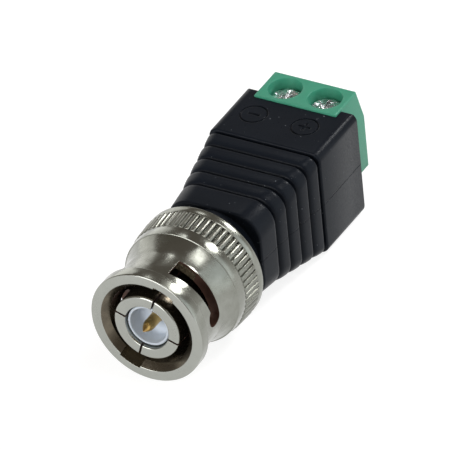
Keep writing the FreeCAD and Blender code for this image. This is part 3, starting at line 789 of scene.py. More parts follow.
@dataclass
class CouplingNut:
    """Bayonet coupling nut with its knurled band and its two cam slots."""

    length: float = 13.3
    bore_r: float = 5.0
    barrel_r: float = 6.3
    rim_r: float = 7.0
    rim_width: float = 1.6
    mouth_chamfer: float = 0.77
    cove_start: float = 5.6
    cove_end: float = 8.1
    cove_r: float = 7.12
    cove_pull: float = 6.49
    shoulder_r: float = 7.32
    knurl_start: float = 9.5
    knurl_end: float = 12.2
    knurl_front_r: float = 7.43
    knurl_rear_r: float = 7.56
    knurl_count: int = 62
    knurl_angle: float = 11.2
    columns_per_ridge: int = 6
    # Columns of a ridge that are pulled in, and how far in from their radius of one
    knurl_shrinks: tuple[tuple[tuple[int, ...], float], ...] = (
        ((1, 5), 0.999), ((2, 4), 0.99), ((3,), 0.961),
    )
    band_r: float = 7.5
    skirt_r: float = 5.6
    lip_front: float = 11.6
    lip_rear: float = 12.6
    lip_r: float = 4.17
    groove_depth_r: float = 6.0
    groove_half_w: float = 1.325
    groove_angle: float = 63.7
    slot_rear: float = 5.35
    slot_start_w: float = 2.55
    slot_end_w: float = 1.51
    slot_start_angle: float = 74.0
    slot_end_angle: float = 3.0
    slot_steps: int = 24
    detent_r: float = 1.1

    def cove(self) -> list[Triple]:
        """Hollow curve from the barrel up to the shoulder.

        Returns:
            The curve's points for rounded(), which leaves them as they are.
        """
        middle = (self.cove_start + self.cove_end) / 2
        points = []
        for step in range(11):
            share = step / 10
            weights = ((1 - share) ** 2, 2 * share * (1 - share), share ** 2)
            along = sum(w * y for w, y in zip(weights, (self.cove_start, middle, self.cove_end)))
            out = sum(w * r for w, r in zip(weights, (self.barrel_r, self.cove_pull, self.cove_r)))
            points.append((along, out, 0.0))
        return points

    def outline(self) -> Outline:
        """Section of the nut through the axis.

        Returns:
            The closed section.
        """
        chamfer = self.mouth_chamfer
        start, end = self.knurl_start, self.knurl_end
        corners = [
            (0.0, self.bore_r + chamfer, 0.07), (0.0, self.rim_r, 0.16),
            (self.rim_width, self.rim_r, 0.16), (self.rim_width, self.barrel_r, 0.3),
        ]
        corners += self.cove()
        corners += [
            (self.cove_end + 0.03, self.cove_r + 0.08, 0.0),
            (self.cove_end + 0.16, self.cove_r + 0.1, 0.0),
            (start - 0.08, self.shoulder_r, 0.0), (start, self.shoulder_r - 0.02, 0.0),
            (start + 0.02, self.knurl_front_r - 0.05, 0.0),
            (start + 0.14, self.knurl_front_r, 0.0),
            (start + 0.9, self.knurl_front_r + 0.045, 0.0),
            (end - 0.9, self.knurl_rear_r - 0.045, 0.0),
            (end - 0.1, self.knurl_rear_r, 0.0), (end - 0.02, self.knurl_rear_r - 0.03, 0.0),
            (end, self.band_r - 0.05, 0.0), (end + 0.12, self.band_r, 0.0),
            (self.length, self.band_r, 0.2), (self.length, self.skirt_r, 0.08),
            (self.lip_rear, self.skirt_r, 0.0), (self.lip_rear, self.lip_r, 0.05),
            (self.lip_front, self.lip_r, 0.05), (self.lip_front, self.bore_r, 0.0),
            (chamfer, self.bore_r, 0.1),
        ]
        return rounded(corners)

    def knurl_column(self, place: Vector) -> int:
        """Which column of its ridge a vertex of the nut lies on.

        Args:
            place: The vertex's place in millimetres.

        Returns:
            The column, counted from the ridge's crest, or -1 outside the knurl.
        """
        inside = self.knurl_start + NEAR < place.y < self.knurl_end - NEAR
        if not inside or place.xz.length < self.knurl_front_r - 0.2:
            return -1
        columns = self.knurl_count * self.columns_per_ridge
        return round(math.atan2(place.z, place.x) / math.tau * columns) % self.columns_per_ridge

    def knurl(self, nut: Piece) -> None:
        """Pull the columns between the ridges in towards the axis.

        Args:
            nut: The turned nut.
        """
        edit_all(nut)
        for chosen, shrink in self.knurl_shrinks:
            pick(nut, lambda place: self.knurl_column(place) in chosen)
            bpy.ops.transform.resize(value=(shrink, 1.0, shrink), center_override=(0.0, 0.0, 0.0))
        bpy.ops.object.mode_set(mode="OBJECT")
        rolled(nut, self.knurl_angle)

    def plate(self, nut: Piece) -> None:
        """Give the outside, the mouth's face, the knurl and the bore their own finishes.

        Args:
            nut: The turned and knurled nut.
        """
        finishes = (STAINED_AND_SHADED_NICKEL, BRIGHT_NICKEL, SHADED_KNURL_NICKEL, BORE_NICKEL_PAINTED_SHADE)
        dress(nut, *finishes)
        # The outside, the knurl and the bore take darker copies of the plating as painted shade;
        # the mouth's face keeps the bright one
        for face in nut.data.polygons:
            place = face.center / MM
            out = place.xz.length
            finish = STAINED_AND_SHADED_NICKEL
            if place.y < 0.1 and face.normal.y < -0.5:
                finish = BRIGHT_NICKEL
            elif self.knurl_start < place.y < self.knurl_end and out > self.barrel_r:
                finish = SHADED_KNURL_NICKEL
            elif out < self.bore_r + self.mouth_chamfer and place.y < self.lip_rear:
                finish = BORE_NICKEL_PAINTED_SHADE
            face.material_index = finishes.index(finish)

    def entry_groove(self) -> Piece:
        """Cutter for the groove that lets the jack's lug in.

        Returns:
            The cutter, turned to the groove's angle.
        """
        groove = spun(
            "groove_cutter",
            [(-1.0, 0.0), (-1.0, self.groove_depth_r), (self.slot_rear, self.groove_depth_r),
             (self.slot_rear, 0.0)],
            steps=96,
        )
        half = self.groove_half_w
        side = brick("groove_side", (3.0, -2.0, -half), (8.0, self.slot_rear + 1.0, half))
        return rolled(combine(groove, [side], "INTERSECT"), self.groove_angle)

    def cam_slot(self) -> Piece:
        """Cutter for the slot that winds back and narrows towards the detent.

        Returns:
            The cutter, turned to the slot's first angle.
        """
        low, high = self.bore_r - 0.45, self.rim_r + 0.5
        front = self.slot_rear - self.slot_start_w
        cutter = drawn("cam_cutter", [
            (low, front, 0.0), (high, front, 0.0), (high, self.slot_rear, 0.0),
            (low, self.slot_rear, 0.0), (low, front, 0.0),
        ])
        bpy.ops.mesh.select_all(action="SELECT")
        bpy.ops.mesh.remove_doubles(threshold=MERGE_GAP * MM)
        bpy.ops.mesh.edge_face_add()
        sweep = self.slot_start_angle - self.slot_end_angle
        bpy.ops.mesh.spin(
            steps=self.slot_steps, angle=-math.radians(sweep), center=(0.0, 0.0, 0.0),
            axis=(0.0, 1.0, 0.0),
        )
        narrowing = self.slot_start_w - self.slot_end_w
        half_step = sweep / self.slot_steps / 2
        for step in range(1, self.slot_steps + 1):
            share = step / self.slot_steps
            angle = -sweep * share
            pick(cutter, lambda place: (
                place.y < front + NEAR and abs(angle_of(place) - angle) < half_step
            ))
            bpy.ops.transform.translate(value=(0.0, narrowing * share * MM, 0.0))
        close_up(cutter)
        return rolled(cutter, self.slot_start_angle)

    def detent(self) -> Piece:
        """Cutter for the round end of the slot, where the lug rests.

        Returns:
            The cutter, turned to the slot's last angle.
        """
        cutter = spun(
            "detent_cutter",
            [(3.0, 0.0), (3.0, self.detent_r), (9.0, self.detent_r), (9.0, 0.0)],
            steps=48, upright=True,
        )
        moved(turned(cutter, 90.0, "Y"), (0.0, self.slot_rear - self.detent_r, 0.0))
        return rolled(cutter, self.slot_end_angle)

    def build(self) -> None:
        """Make the nut and hand it to its body."""
        columns = self.knurl_count * self.columns_per_ridge
        nut = spun("turned_coupling_nut", self.outline(), columns)
        self.knurl(nut)
        self.plate(nut)
        for cutter, finish in (
            (self.entry_groove(), MILLED_BRASS), (self.cam_slot(), DARK_BROWN_CUT_WALLS),
            (self.detent(), DARK_BROWN_CUT_WALLS),
        ):
            dress(cutter, finish)
            opposite = rolled(twin(cutter, cutter.name + "_opposite"), 180.0)
            combine(nut, [cutter, opposite])
        close_up(nut)
        place_on(nut, "nut", "coupling_nut")


# Plug front


@dataclass
class PlugFront:
    """Slotted outer contact with its body, the dished insulator and the gold pin."""

    contact_r: float = 4.1
    contact_bore_r: float = 2.72
    slit_w: float = 0.26
    slit_length: float = 6.0
    slit_angle: float = 72.0
    slit_count: int = 4
    gap_shade_start: float = 0.5
    gasket_front: float = 7.7
    gasket_seat_r: float = 3.7
    flange_front: float = 8.6
    flange_rear: float = 10.0
    flange_r: float = 4.85
    ring_groove: tuple[float, float] = (12.65, 13.25)
    ring_groove_r: float = 3.6
    shank_end: float = 16.0
    spigot_r: float = 3.3
    spigot_end: float = 19.4
    tube_r: float = 2.2
    seat: float = 9.5
    lip_front: float = 0.4
    lip_end: float = 6.0
    lip_r: float = 2.57
    dish_r: float = 2.27
    dish_floor: float = 2.8
    bush_r: float = 2.7
    hole_r: float = 0.87
    stop_room_front: float = 8.28
    stop_room_r: float = 1.22
    pin_r: float = 0.675
    pin_tip: float = -0.7
    point_length: float = 1.5
    stem_r: float = 0.85
    stop_front: float = 8.3
    stop_end: float = 9.48
    stop_r: float = 1.2
    stop_edge: float = 0.04
    tail_r: float = 0.6
    tail_end: float = 27.2
    cup_r: float = 0.42
    cup_depth: float = 2.0

    def contact(self) -> None:
        """Outer contact with rounded tines, on the flange, shank and spigot behind it."""
        neck_start, neck_end, neck_r = self.gasket_front, self.flange_front, self.gasket_seat_r
        groove_start, groove_end = self.ring_groove
        body = spun("slotted_contact_body", rounded([
            (0.0, self.contact_bore_r, 0.16), (0.0, self.contact_r, 0.24),
            (neck_start, self.contact_r, 0.04), (neck_start, neck_r, 0.0),
            (neck_end, neck_r, 0.0), (neck_end, self.flange_r, 0.08),
            (self.flange_rear, self.flange_r, 0.08), (self.flange_rear, self.contact_r, 0.0),
            (groove_start, self.contact_r, 0.04), (groove_start, self.ring_groove_r, 0.0),
            (groove_end, self.ring_groove_r, 0.0), (groove_end, self.contact_r, 0.04),
            (self.shank_end, self.contact_r, 0.05), (self.shank_end, self.spigot_r, 0.0),
            (self.spigot_end, self.spigot_r, 0.1), (self.spigot_end, self.tube_r, 0.0),
            (self.seat, self.tube_r, 0.0), (self.seat, self.contact_bore_r, 0.0),
        ]), steps=160)
        finishes = (BRIGHT_NICKEL, BORE_NICKEL_PAINTED_SHADE, DARK_BROWN_CUT_WALLS)
        dress(body, *finishes)
        # The contact's outside inside the nut takes the bore's darker finish, as painted shade of
        # the narrow gap round it
        for face in body.data.polygons:
            place = face.center / MM
            thin = self.gap_shade_start < place.y < self.flange_front
            if thin and place.xz.length > self.contact_r - 0.1:
                face.material_index = finishes.index(BORE_NICKEL_PAINTED_SHADE)
        slits = []
        for index in range(self.slit_count):
            half = self.slit_w / 2
            slit = brick(f"slit_{index}", (0.5, -1.0, -half), (6.0, self.slit_length, half))
            dress(slit, DARK_BROWN_CUT_WALLS)
            slits.append(rolled(slit, self.slit_angle + 360.0 / self.slit_count * index))
        combine(body, slits)
        close_up(body)
        place_on(body, "root", "plug_body")

    def insulator(self) -> None:
        """Insulator with a thin lip round its open dish."""
        room = self.stop_room_front
        bush = spun("dished_front_insulator", rounded([
            (self.lip_front, self.dish_r, 0.12), (self.lip_front, self.lip_r, 0.12),
            (self.lip_end, self.lip_r, 0.0), (self.lip_end, self.bush_r, 0.05),
            (self.seat, self.bush_r, 0.05), (self.seat, self.stop_room_r, 0.0),
            (room, self.stop_room_r, 0.0), (room, self.hole_r, 0.0),
            (self.dish_floor, self.hole_r, 0.05), (self.dish_floor, self.dish_r, 0.6),
        ], steps=6), steps=96)
        dress(bush, MILKY_ACETAL)
        place_on(bush, "root", "front_insulator")

    def pin(self) -> None:
        """Centre pin with a smooth point, its shoulder and its hollow solder tail."""
        outline = [(self.pin_tip, 0.0), (self.pin_tip + 0.01, 0.06)]
        for step in range(1, 17):
            share = step / 16
            out = 0.1 + (self.pin_r - 0.1) * math.sin(share * math.pi / 2)
            outline.append((self.pin_tip + 0.05 + (self.point_length - 0.05) * share, out))
        stem, stop, edge = self.dish_floor, self.stop_front, self.stop_edge
        outline += [
            (stem - 0.04, self.pin_r), (stem, 0.72), (stem, self.stem_r), (stop, self.stem_r),
            (stop, self.stop_r - edge), (stop + edge, self.stop_r),
            (self.stop_end - edge, self.stop_r), (self.stop_end, self.stop_r - edge),
            (self.stop_end, self.tail_r), (self.tail_end - 0.05, self.tail_r),
            (self.tail_end, self.tail_r - 0.05), (self.tail_end, self.cup_r + edge),
            (self.tail_end - edge, self.cup_r), (self.tail_end - self.cup_depth, self.cup_r),
            (self.tail_end - self.cup_depth - 0.2, 0.0),
        ]
        pin = spun("pointed_centre_pin", outline, steps=64)
        dress(pin, GOLD_FLASH)
        place_on(pin, "root", "centre_pin")

    def build(self) -> None:
        """Make the three pieces of the plug's front."""
        self.contact()
        self.insulator()
        self.pin()


# Spring of the nut


@dataclass
class NutSpring:
    """Wave washer that flattens when the nut is pushed forward against it."""

    anchor: float = 10.0
    room: float = 1.15
    travel: float = 0.7
    pressed_edge: float = 0.03

    def build(self) -> None:
        """Round the washer's edges, hand it to its body and give it a mesh of its own."""
        spring = softened("wave_washer", "pressed_wave_washer", self.pressed_edge, 1)
        dress(spring, SPRING_STEEL)
        place_on(spring, "root", "wave_washer")
        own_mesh(spring)


# Clamp screws


@dataclass
class ClampScrews:
    """Pair of clamp screws with a domed head, a slot and a short cross."""

    pitch: float = 5.08
    along: float = 37.78
    tip: float = 1.27
    tip_chamfer: float = 0.15
    thread_end: float = 4.3
    thread_pitch: float = 0.5
    crest_r: float = 1.45
    root_r: float = 1.2
    head: float = 4.9
    head_r: float = 1.9
    head_top: float = 6.05
    slot_half_w: float = 0.26
    slot_floor: float = 5.4
    cross_half: float = 1.2
    nick_half_w: float = 0.09
    nick_floor: float = 5.74
    nick_angles: tuple[float, ...] = (30.0, 60.0, 120.0, 150.0)
    sharp_angle: float = 28.0

    def outline(self) -> Outline:
        """Half section of the screw from its tip to the middle of its head.

        Returns:
            The open section, with both ends on the screw's axis.
        """
        chamfer = self.tip_chamfer
        points = [(self.tip, 0.0), (self.tip, self.root_r - chamfer)]
        turn = ((0.0, self.root_r), (0.2, self.crest_r), (0.26, self.crest_r), (0.46, self.root_r))
        height = self.tip + chamfer
        while height < self.thread_end:
            points += [(height + step, out) for step, out in turn]
            height += self.thread_pitch
        rise = self.head_top - self.head
        points += [
            (self.thread_end + 0.45, self.root_r), (self.head - 0.02, self.crest_r),
            (self.head, self.head_r - 0.06), (self.head + 0.06, self.head_r),
        ]
        for step in range(9):
            share = step / 8
            out = self.head_r * math.cos(share * math.pi / 2)
            up = self.head + rise * (0.5 + 0.5 * math.sin(share * math.pi / 2))
            points.append((up, out))
        return points

    def screw(self) -> Piece:
        """One screw on the left, with its recess cut.

        Returns:
            The screw.
        """
        screw = spun("clamp_screw_with_recess_left", self.outline(), steps=56, upright=True)
        dress(screw, HEADED_ZINC_PAINTED_BRIGHT)
        half = self.slot_half_w
        top = self.head_top + 1.0
        slot = brick("slot", (-3.0, -half, self.slot_floor), (3.0, half, top))
        cross = brick(
            "cross", (-half, -self.cross_half, self.slot_floor), (half, self.cross_half, top)
        )
        nicks = []
        for angle in self.nick_angles:
            nick = brick(
                f"nick_{angle:.0f}", (-self.nick_half_w, -3.0, self.nick_floor),
                (self.nick_half_w, 3.0, top),
            )
            nicks.append(turned(nick, angle, "Z"))
        combine(screw, [slot, cross] + nicks)
        close_up(screw)
        return moved(screw, (-self.pitch / 2, self.along, 0.0))

    def build(self) -> None:
        """Make the left screw and its copy on the right."""
        left = self.screw()
        right = moved(twin(left, "clamp_screw_with_recess_right"), (self.pitch, 0.0, 0.0))
        place_on(left, "screw_left", "clamp_screw_left", self.sharp_angle)
        place_on(right, "screw_right", "clamp_screw_right", self.sharp_angle)


# Terminal block


@dataclass
class TerminalBlock:
    """Moulded terminal block with its rising cages and its contact bars."""

    moulded_edge: float = 0.1
    stamped_edge: float = 0.05

    def build(self) -> None:
        """Round the edges of the block, the cages and the bars."""
        block = softened("terminal_housing", "moulded_terminal_block", self.moulded_edge)
        dress(block, GREEN_NYLON)
        place_on(block, "root", "terminal_housing")
        for side in ("left", "right"):
            cage = softened(f"clamp_cage_{side}", f"folded_cage_{side}", self.stamped_edge)
            dress(cage, ZINC_PLATE)
            place_on(cage, f"cage_{side}", f"clamp_cage_{side}")
            bar = softened(f"contact_bar_{side}", f"stamped_contact_{side}", self.stamped_edge)
            dress(bar, TINNED_BRASS)
            place_on(bar, "root", f"contact_bar_{side}")


# Housing


@dataclass
class Housing:
    """Moulded housing in two halves, with soft ribs, a square box and a fine seam."""

    front: float = 16.0
    band_end: float = 19.2
    groove_w: float = 0.38
    groove_pitch: float = 2.13
    groove_count: int = 5
    groove_depth: float = 0.44
    box_start: float = 28.1
    box_end: float = 36.8
    front_size: Triple = (5.88, 5.625, 3.0)
    band_size: Triple = (6.07, 5.815, 2.8)
    last_size: Triple = (6.94, 6.64, 1.3)
    box_size: Triple = (7.08, 6.78, 1.1)
    collar_r: float = 5.39
    collar_start: float = 14.25
    horn_r: float = 0.5
    heel_r: float = 1.0
    seam_w: float = 0.05
    seam_depth: float = 0.1
    disc_r: float = 1.65
    disc_line: float = 0.2
    disc_depth: float = 0.14
    disc_half_spacing: float = 3.23
    disc_shift: float = -0.33
    disc_along: float = 32.3
    mark_half: float = 0.75
    mark_half_w: float = 0.16
    corner_steps: int = 9
    sharp_angle: float = 40.0
    bores: tuple[tuple[str, float, float, float], ...] = (
        ("shank_bore", 14.0, 17.5, 4.14), ("tail_bore", 19.4, 20.85, 3.24),
    )
    rooms: tuple[tuple[str, Triple, Triple], ...] = (
        ("flange_room", (-4.34, 17.45, -4.34), (4.34, 19.55, 4.34)),
        ("wiring_room", (-4.68, 20.8, -4.425), (4.68, 32.42, 4.425)),
        ("box_room", (-5.5, 28.89, -5.2), (5.5, 32.41, 5.2)),
        ("wall_window", (-4.63, 32.38, -5.19), (4.63, 33.75, 4.68)),
        ("block_front_room", (-5.27, 33.72, -3.78), (5.27, 35.29, 5.28)),
        ("block_open_room", (-5.271, 35.25, -3.781), (5.271, 41.5, 13.56)),
        ("block_foot_room", (-3.69, 33.68, -5.18), (3.69, 35.16, -3.7)),
    )

    def crest(self, along: float) -> Triple:
        """Size of the taper's crests.

        Args:
            along: The place along the axis.

        Returns:
            Half width, half height and corner radius there.
        """
        if along <= self.band_end:
            share = (along - self.front) / (self.band_end - self.front)
            low, high = self.front_size, self.band_size
        else:
            last = self.box_start - self.groove_w
            share = (along - self.band_end) / (last - self.band_end)
            low, high = self.band_size, self.last_size
        return tuple(a + (b - a) * share for a, b in zip(low, high))

    def rib(self, start: float, end: float) -> Outline:
        """Form of one rib: a soft nose, a bulged back and a tight rear edge.

        Args:
            start: Where the rib begins along the axis.
            end: Where it ends.

        Returns:
            Places along the axis with their depth below the crest.
        """
        nose = [(0.0, 0.3), (0.05, 0.19), (0.13, 0.1), (0.27, 0.03), (0.48, -0.02), (0.8, -0.045)]
        tail = [(0.42, -0.05), (0.2, -0.035), (0.1, 0.0), (0.04, 0.06), (0.01, 0.14)]
        stations = [(start + step, depth) for step, depth in nose]
        return stations + [(end - step, depth) for step, depth in tail]

    def sections(self, inset: float = 0.0) -> list[tuple[float, Triple]]:
        """Places along the axis with the size of the outside there.

        Args:
            inset: How far inside the surface the sections lie.

        Returns:
            The sections from front to rear.
        """
        stations = [(self.front, 0.22), (self.front + 0.05, 0.1), (self.front + 0.16, 0.02),
                    (self.front + 0.3, 0.0), (self.band_end - 0.4, 0.0),
                    (self.band_end - 0.12, 0.01), (self.band_end - 0.04, 0.06),
                    (self.band_end - 0.01, 0.14)]
        for index in range(self.groove_count):
            start = self.band_end + index * self.groove_pitch
            end = start + self.groove_w
            stations += [(start, 0.22), (start + 0.05, 0.36), (start + 0.14, self.groove_depth),
                         (start + 0.24, self.groove_depth), (end - 0.05, 0.38)]
            if index < self.groove_count - 1:
                stations += self.rib(end, start + self.groove_pitch)
        placed = []
        for along, depth in stations:
            half_w, half_h, corner = self.crest(min(along, self.box_start - self.groove_w))
            placed.append((along, (half_w - depth, half_h - depth, corner - depth / 2)))
        wide, high, corner = self.box_size
        for step, depth in ((0.0, 0.2), (0.04, 0.08), (0.12, 0.02), (0.24, 0.0)):
            size = (wide - depth, high - depth, corner - depth / 2)
            placed.append((self.box_start + step, size))
        placed.append((self.box_end - 0.08, (wide, high, corner)))
        placed.append((self.box_end, (wide - 0.06, high - 0.06, corner)))
        return [(along, (w - inset, h - inset, r - inset / 2)) for along, (w, h, r) in placed]

    def skin(self, name: str, inset: float = 0.0) -> Piece:
        """Closed form through all sections, bridged one to the next.

        Args:
            name: The new piece's name.
            inset: How far inside the housing's surface it lies.

        Returns:
            The closed piece.
        """
        sections = self.sections(inset)
        clear_selection()
        bpy.ops.mesh.primitive_plane_add(size=0.1 * MM)
        piece = bpy.context.object
        piece.name = name
        edit_all(piece)
        bpy.ops.mesh.delete(type="VERT")
        facing = (math.radians(90.0), 0.0, 0.0)
        for along, (half_w, half_h, corner) in sections:
            place = (0.0, along * MM, 0.0)
            bpy.ops.mesh.primitive_plane_add(size=2 * MM, location=place, rotation=facing)
            bpy.ops.transform.resize(value=(half_w, 1.0, half_h), center_override=place)
            bpy.ops.mesh.bevel(
                offset=corner * MM, offset_type="OFFSET", segments=self.corner_steps,
                affect="VERTICES",
            )
            bpy.ops.mesh.delete(type="ONLY_FACE")
        for (here, _), (following, _) in zip(sections, sections[1:]):
            pair = (here, following)
            pick(piece, lambda place: min(abs(place.y - end) for end in pair) < SECTION_GAP)
            bpy.ops.mesh.bridge_edge_loops()
        for end in (sections[0][0], sections[-1][0]):
            pick(piece, lambda place: abs(place.y - end) < SECTION_GAP)
            bpy.ops.mesh.edge_face_add()
        close_up(piece)
        return piece

    def rear_edge(self, radius: float, up: float) -> Piece:
        """Cutter that rounds the box's rear edge at the top or at the bottom.

        Args:
            radius: The rounding's radius.
            up: One for the top edge and minus one for the bottom edge.

        Returns:
            The cutter.
        """
        centre_y = self.box_end - radius
        centre_z = up * (self.box_size[1] - radius)
        low, high = sorted((centre_z, centre_z + up * 3.0))
        corner = brick("rear_corner", (-9.0, centre_y, low), (9.0, self.box_end + 2.0, high))
        roller = spun(
            "rear_roller", [(-10.0, 0.0), (-10.0, radius), (10.0, radius), (10.0, 0.0)],
            steps=48, upright=True,
        )
        moved(turned(roller, 90.0, "Y"), (0.0, centre_y, centre_z))
        return combine(corner, [roller])

    def hollows(self) -> list[Piece]:
        """Cutters for what the housing holds.

        Returns:
            The cutters, the round ones first.
        """
        tools = [
            spun(name, [(low, 0.0), (low, radius), (high, radius), (high, 0.0)], steps=96)
            for name, low, high, radius in self.bores
        ]
        return tools + [brick(*room) for room in self.rooms]

    def marks(self) -> list[Piece]:
        """Cutters for the two engraved circles, the minus and the plus.

        Returns:
            The cutters.
        """
        low = self.box_size[1] - self.disc_depth
        high = self.box_size[1] + 0.5
        tools = []
        for side in (-1, 1):
            x = side * self.disc_half_spacing + self.disc_shift
            inner_r = self.disc_r - self.disc_line
            ring = rounded([
                (low, inner_r, 0.0), (low, self.disc_r, 0.0), (high, self.disc_r, 0.0),
                (high, inner_r, 0.0),
            ])
            circle = spun("circle", ring, steps=64, upright=True)
            tools.append(moved(circle, (x, self.disc_along, 0.0)))
            long, thin = self.mark_half, self.mark_half_w
            tools.append(brick(
                "dash", (x - long, self.disc_along - thin, low),
                (x + long, self.disc_along + thin, high),
            ))
        x = self.disc_half_spacing + self.disc_shift
        tools.append(brick(
            "upright", (x - self.mark_half_w, self.disc_along - self.mark_half, low),
            (x + self.mark_half_w, self.disc_along + self.mark_half, high),
        ))
        return tools

    def build(self) -> None:
        """Make the whole housing, split it along its seam and hand over the halves."""
        whole = self.skin("housing_lower_half")
        collar = spun("collar", [
            (self.collar_start, 0.0), (self.collar_start, self.collar_r - 0.12),
            (self.collar_start + 0.12, self.collar_r), (self.front + 1.0, self.collar_r),
            (self.front + 1.0, 0.0),
        ])
        combine(whole, [collar], "UNION")
        half = self.seam_w / 2
        seam = brick("seam", (-9.0, self.front - 0.5, -half), (9.0, self.box_end + 1.0, half))
        combine(seam, [self.skin("seam_core", self.seam_depth)])
        tools = [seam, self.rear_edge(self.horn_r, 1.0), self.rear_edge(self.heel_r, -1.0)]
        combine(whole, tools + self.hollows())
        dress(whole, BLACK_ABS)
        upper = twin(whole, "housing_upper_half")
        combine(upper, [brick("below", (-20.0, -5.0, -20.0), (20.0, 60.0, 0.0))])
        combine(whole, [brick("above", (-20.0, -5.0, 0.0), (20.0, 60.0, 20.0))])
        combine(upper, self.marks())
        for piece, node in ((upper, "upper_shell"), (whole, "lower_shell")):
            close_up(piece)
            place_on(piece, "root", node, self.sharp_angle)


# Studio


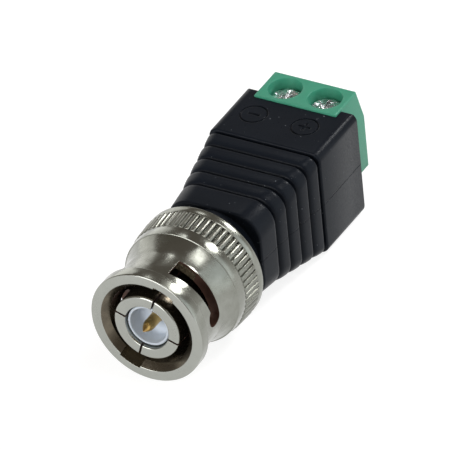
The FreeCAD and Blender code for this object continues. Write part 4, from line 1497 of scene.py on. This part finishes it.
@dataclass
class Studio:
    """Pale floor, soft lamps and the camera at the photograph's viewing angle."""

    azimuth: float = 31.974
    elevation: float = 35.294
    roll: float = 5.514
    lens: float = 1400.0
    sensor: float = 36.0
    image_size: int = 450
    pixels_per_mm: float = 9.0176
    target: Triple = (0.0, 18.0, 0.0)
    target_pixel: tuple[float, float] = (224.807, 239.975)
    floor_half: float = 3000.0
    floor_contact: tuple[float, float] = (11.0, -7.56)
    floor_slope: float = 1.78
    lamp_distance: float = 400.0
    floor_lift: float = 0.84
    paper: str = "#9A9A9A"
    horizon: str = "#D2CFCA"
    ceiling: str = "#7D766E"
    # Where the horizon's colour fades to the ceiling's, as parts of a unit direction
    high_fade: tuple[float, float] = (0.18, 0.46)
    near_fade: tuple[float, float] = (0.3, -0.1)
    low_fade: tuple[float, float] = (0.12, 0.18)
    # Name, direction, size in millimetres, level and colour of each lamp
    lamps: tuple[tuple[str, Triple, float, float, str], ...] = (
        ("rear_lamp", (0.36, 0.67, 0.65), 85.0, 0.34, "#FFFFFF"),
        ("high_lamp", (0.4, 0.07, 0.91), 150.0, 0.19, "#FFFFFF"),
        ("top_lamp", (-0.3, 0.5, 0.81), 50.0, 0.03, "#FFFFFF"),
        ("left_softbox", (-0.88, 0.43, 0.16), 320.0, 0.2, "#FFFFFF"),
        ("side_softbox", (0.95, 0.15, 0.3), 450.0, 0.41, "#F0FAFF"),
        ("front_softbox", (-0.2, -0.95, 0.25), 260.0, 0.7, "#FFFFFF"),
    )

    def view_axes(self) -> tuple[Vector, Vector, Vector]:
        """Axes of the camera.

        Returns:
            Its right, down and forward directions.
        """
        azimuth, elevation, roll = (
            math.radians(angle) for angle in (self.azimuth, self.elevation, self.roll)
        )
        forward = Vector((
            -math.sin(azimuth) * math.cos(elevation),
            math.cos(azimuth) * math.cos(elevation),
            -math.sin(elevation),
        ))
        right = forward.cross(Vector((0, 0, 1))).normalized()
        down = forward.cross(right)
        turned_right = right * math.cos(roll) + down * math.sin(roll)
        turned_down = down * math.cos(roll) - right * math.sin(roll)
        return turned_right, turned_down, forward

    def camera(self) -> None:
        """Place the camera so that the target falls on its pixel at the photo's scale."""
        right, down, forward = self.view_axes()
        distance = self.lens * self.image_size / (self.sensor * self.pixels_per_mm)
        across, below = (
            (pixel - self.image_size / 2) / self.pixels_per_mm for pixel in self.target_pixel
        )
        place = Vector(self.target) - forward * distance - right * across - down * below
        data = bpy.data.cameras.new("photo_camera")
        data.lens = self.lens
        data.sensor_width = self.sensor
        data.clip_start = 0.01
        data.clip_end = 10.0
        camera = bpy.data.objects.new("photo_camera", data)
        bpy.context.scene.collection.objects.link(camera)
        axes = Matrix((right, -down, -forward)).transposed().to_4x4()
        camera.matrix_world = Matrix.Translation(place * MM) @ axes
        bpy.context.scene.camera = camera

    def seen_directly(self, tree: Tree) -> Socket:
        """Tell what is seen as it is from what only lights other surfaces.

        Args:
            tree: The material's tree.

        Returns:
            One for what the camera, a mirror or clear glass shows, and none for soft light.
        """
        path = add_node(tree, "ShaderNodeLightPath").outputs
        shown = path["Is Camera Ray"]
        for kind in ("Is Glossy Ray", "Is Transmission Ray"):
            shown = add_node(
                tree, "ShaderNodeMath", {"operation": "MAXIMUM"}, {0: shown, 1: path[kind]}
            ).outputs[0]
        return shown

    def floor(self) -> None:
        """White sheet that touches the nut and the housing's rear edge."""
        bpy.ops.mesh.primitive_plane_add(size=2 * self.floor_half * MM)
        floor = bpy.context.object
        floor.name = "floor"
        along, height = self.floor_contact
        slope = math.radians(self.floor_slope)
        floor.data.transform(
            Matrix.Translation(Vector((0, along, height)) * MM) @ Matrix.Rotation(slope, 4, "X")
        )
        material, tree = new_material("white_paper_sheet")
        lift = add_node(
            tree, "ShaderNodeMath", {"operation": "MULTIPLY", 1: self.floor_lift},
            {0: self.seen_directly(tree)},
        )
        shader = add_node(
            tree, "ShaderNodeBsdfPrincipled",
            {"Base Color": linear(self.paper), "Roughness": 0.9, "Specular IOR Level": 0.0,
             "Emission Color": (1.0, 1.0, 1.0, 1.0)},
            {"Emission Strength": lift.outputs[0]},
        )
        add_node(
            tree, "ShaderNodeOutputMaterial", links={"Surface": shader.outputs["BSDF"]}
        )
        floor.data.materials.append(material)

    def lamp(self, name: str, towards: Triple, size: float, level: float, colour: str) -> None:
        """Square soft lamp that looks at the middle of the part.

        Args:
            name: The lamp's name.
            towards: Direction from the part to the lamp.
            size: The side of its square.
            level: How light it alone makes a white sheet that faces it, from 0 to 1.
            colour: The light's colour.
        """
        direction = Vector(towards).normalized()
        data = bpy.data.lights.new(name, "AREA")
        data.size = size * MM
        data.color = linear(colour)[:3]
        data.energy = level * (math.pi * self.lamp_distance * MM) ** 2
        lamp = bpy.data.objects.new(name, data)
        bpy.context.scene.collection.objects.link(lamp)
        lamp.location = (Vector(self.target) + direction * self.lamp_distance) * MM
        lamp.rotation_euler = (-direction).to_track_quat("-Z", "Y").to_euler()

    def room(self) -> None:
        """Light band all round above the table's edge, under a dim warm ceiling.

        The band is high behind the part and low on the camera's side.
        """
        world = bpy.data.worlds.new("dim_room")
        bpy.context.scene.world = world
        world.use_nodes = True
        tree = world.node_tree
        tree.nodes.clear()
        place = add_node(tree, "ShaderNodeTexCoord").outputs["Object"]
        parts = add_node(tree, "ShaderNodeSeparateXYZ", links={"Vector": place}).outputs
        high, near, low = (
            add_node(
                tree, "ShaderNodeMapRange", {"From Min": start, "From Max": end},
                {"Value": parts[axis]},
            ).outputs["Result"]
            for axis, (start, end) in (
                ("Z", self.high_fade), ("Y", self.near_fade), ("Z", self.low_fade)
            )
        )
        dim_near = add_node(
            tree, "ShaderNodeMath", {"operation": "MINIMUM"}, {0: near, 1: low}
        ).outputs[0]
        share = add_node(
            tree, "ShaderNodeMath", {"operation": "MAXIMUM"}, {0: high, 1: dim_near}
        )
        colour = add_node(
            tree, "ShaderNodeMixRGB",
            {"Color1": linear(self.horizon), "Color2": linear(self.ceiling)},
            {"Fac": share.outputs[0]},
        ).outputs["Color"]
        light = add_node(tree, "ShaderNodeBackground", links={"Color": colour})
        add_node(tree, "ShaderNodeOutputWorld", links={"Surface": light.outputs[0]})

    def build(self) -> None:
        """Set the camera, the floor, the lamps, the room and the view transform."""
        self.camera()
        self.floor()
        for lamp in self.lamps:
            self.lamp(*lamp)
        self.room()
        bpy.context.scene.view_settings.view_transform = "Standard"


def dress_frame() -> None:
    """Give every CAD node its finish."""
    for finish, names in NODE_FINISHES.items():
        for name in names:
            dress(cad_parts[name], finish)
            LOG.info("%s: %s", name, finish.name)


def main() -> None:
    """Build the whole scene in order."""
    logging.basicConfig(level=logging.INFO, format="%(message)s")
    Studio().build()
    dress_frame()
    CouplingNut().build()
    PlugFront().build()
    NutSpring().build()
    ClampScrews().build()
    TerminalBlock().build()
    Housing().build()


if __name__ == "__main__":
    main()
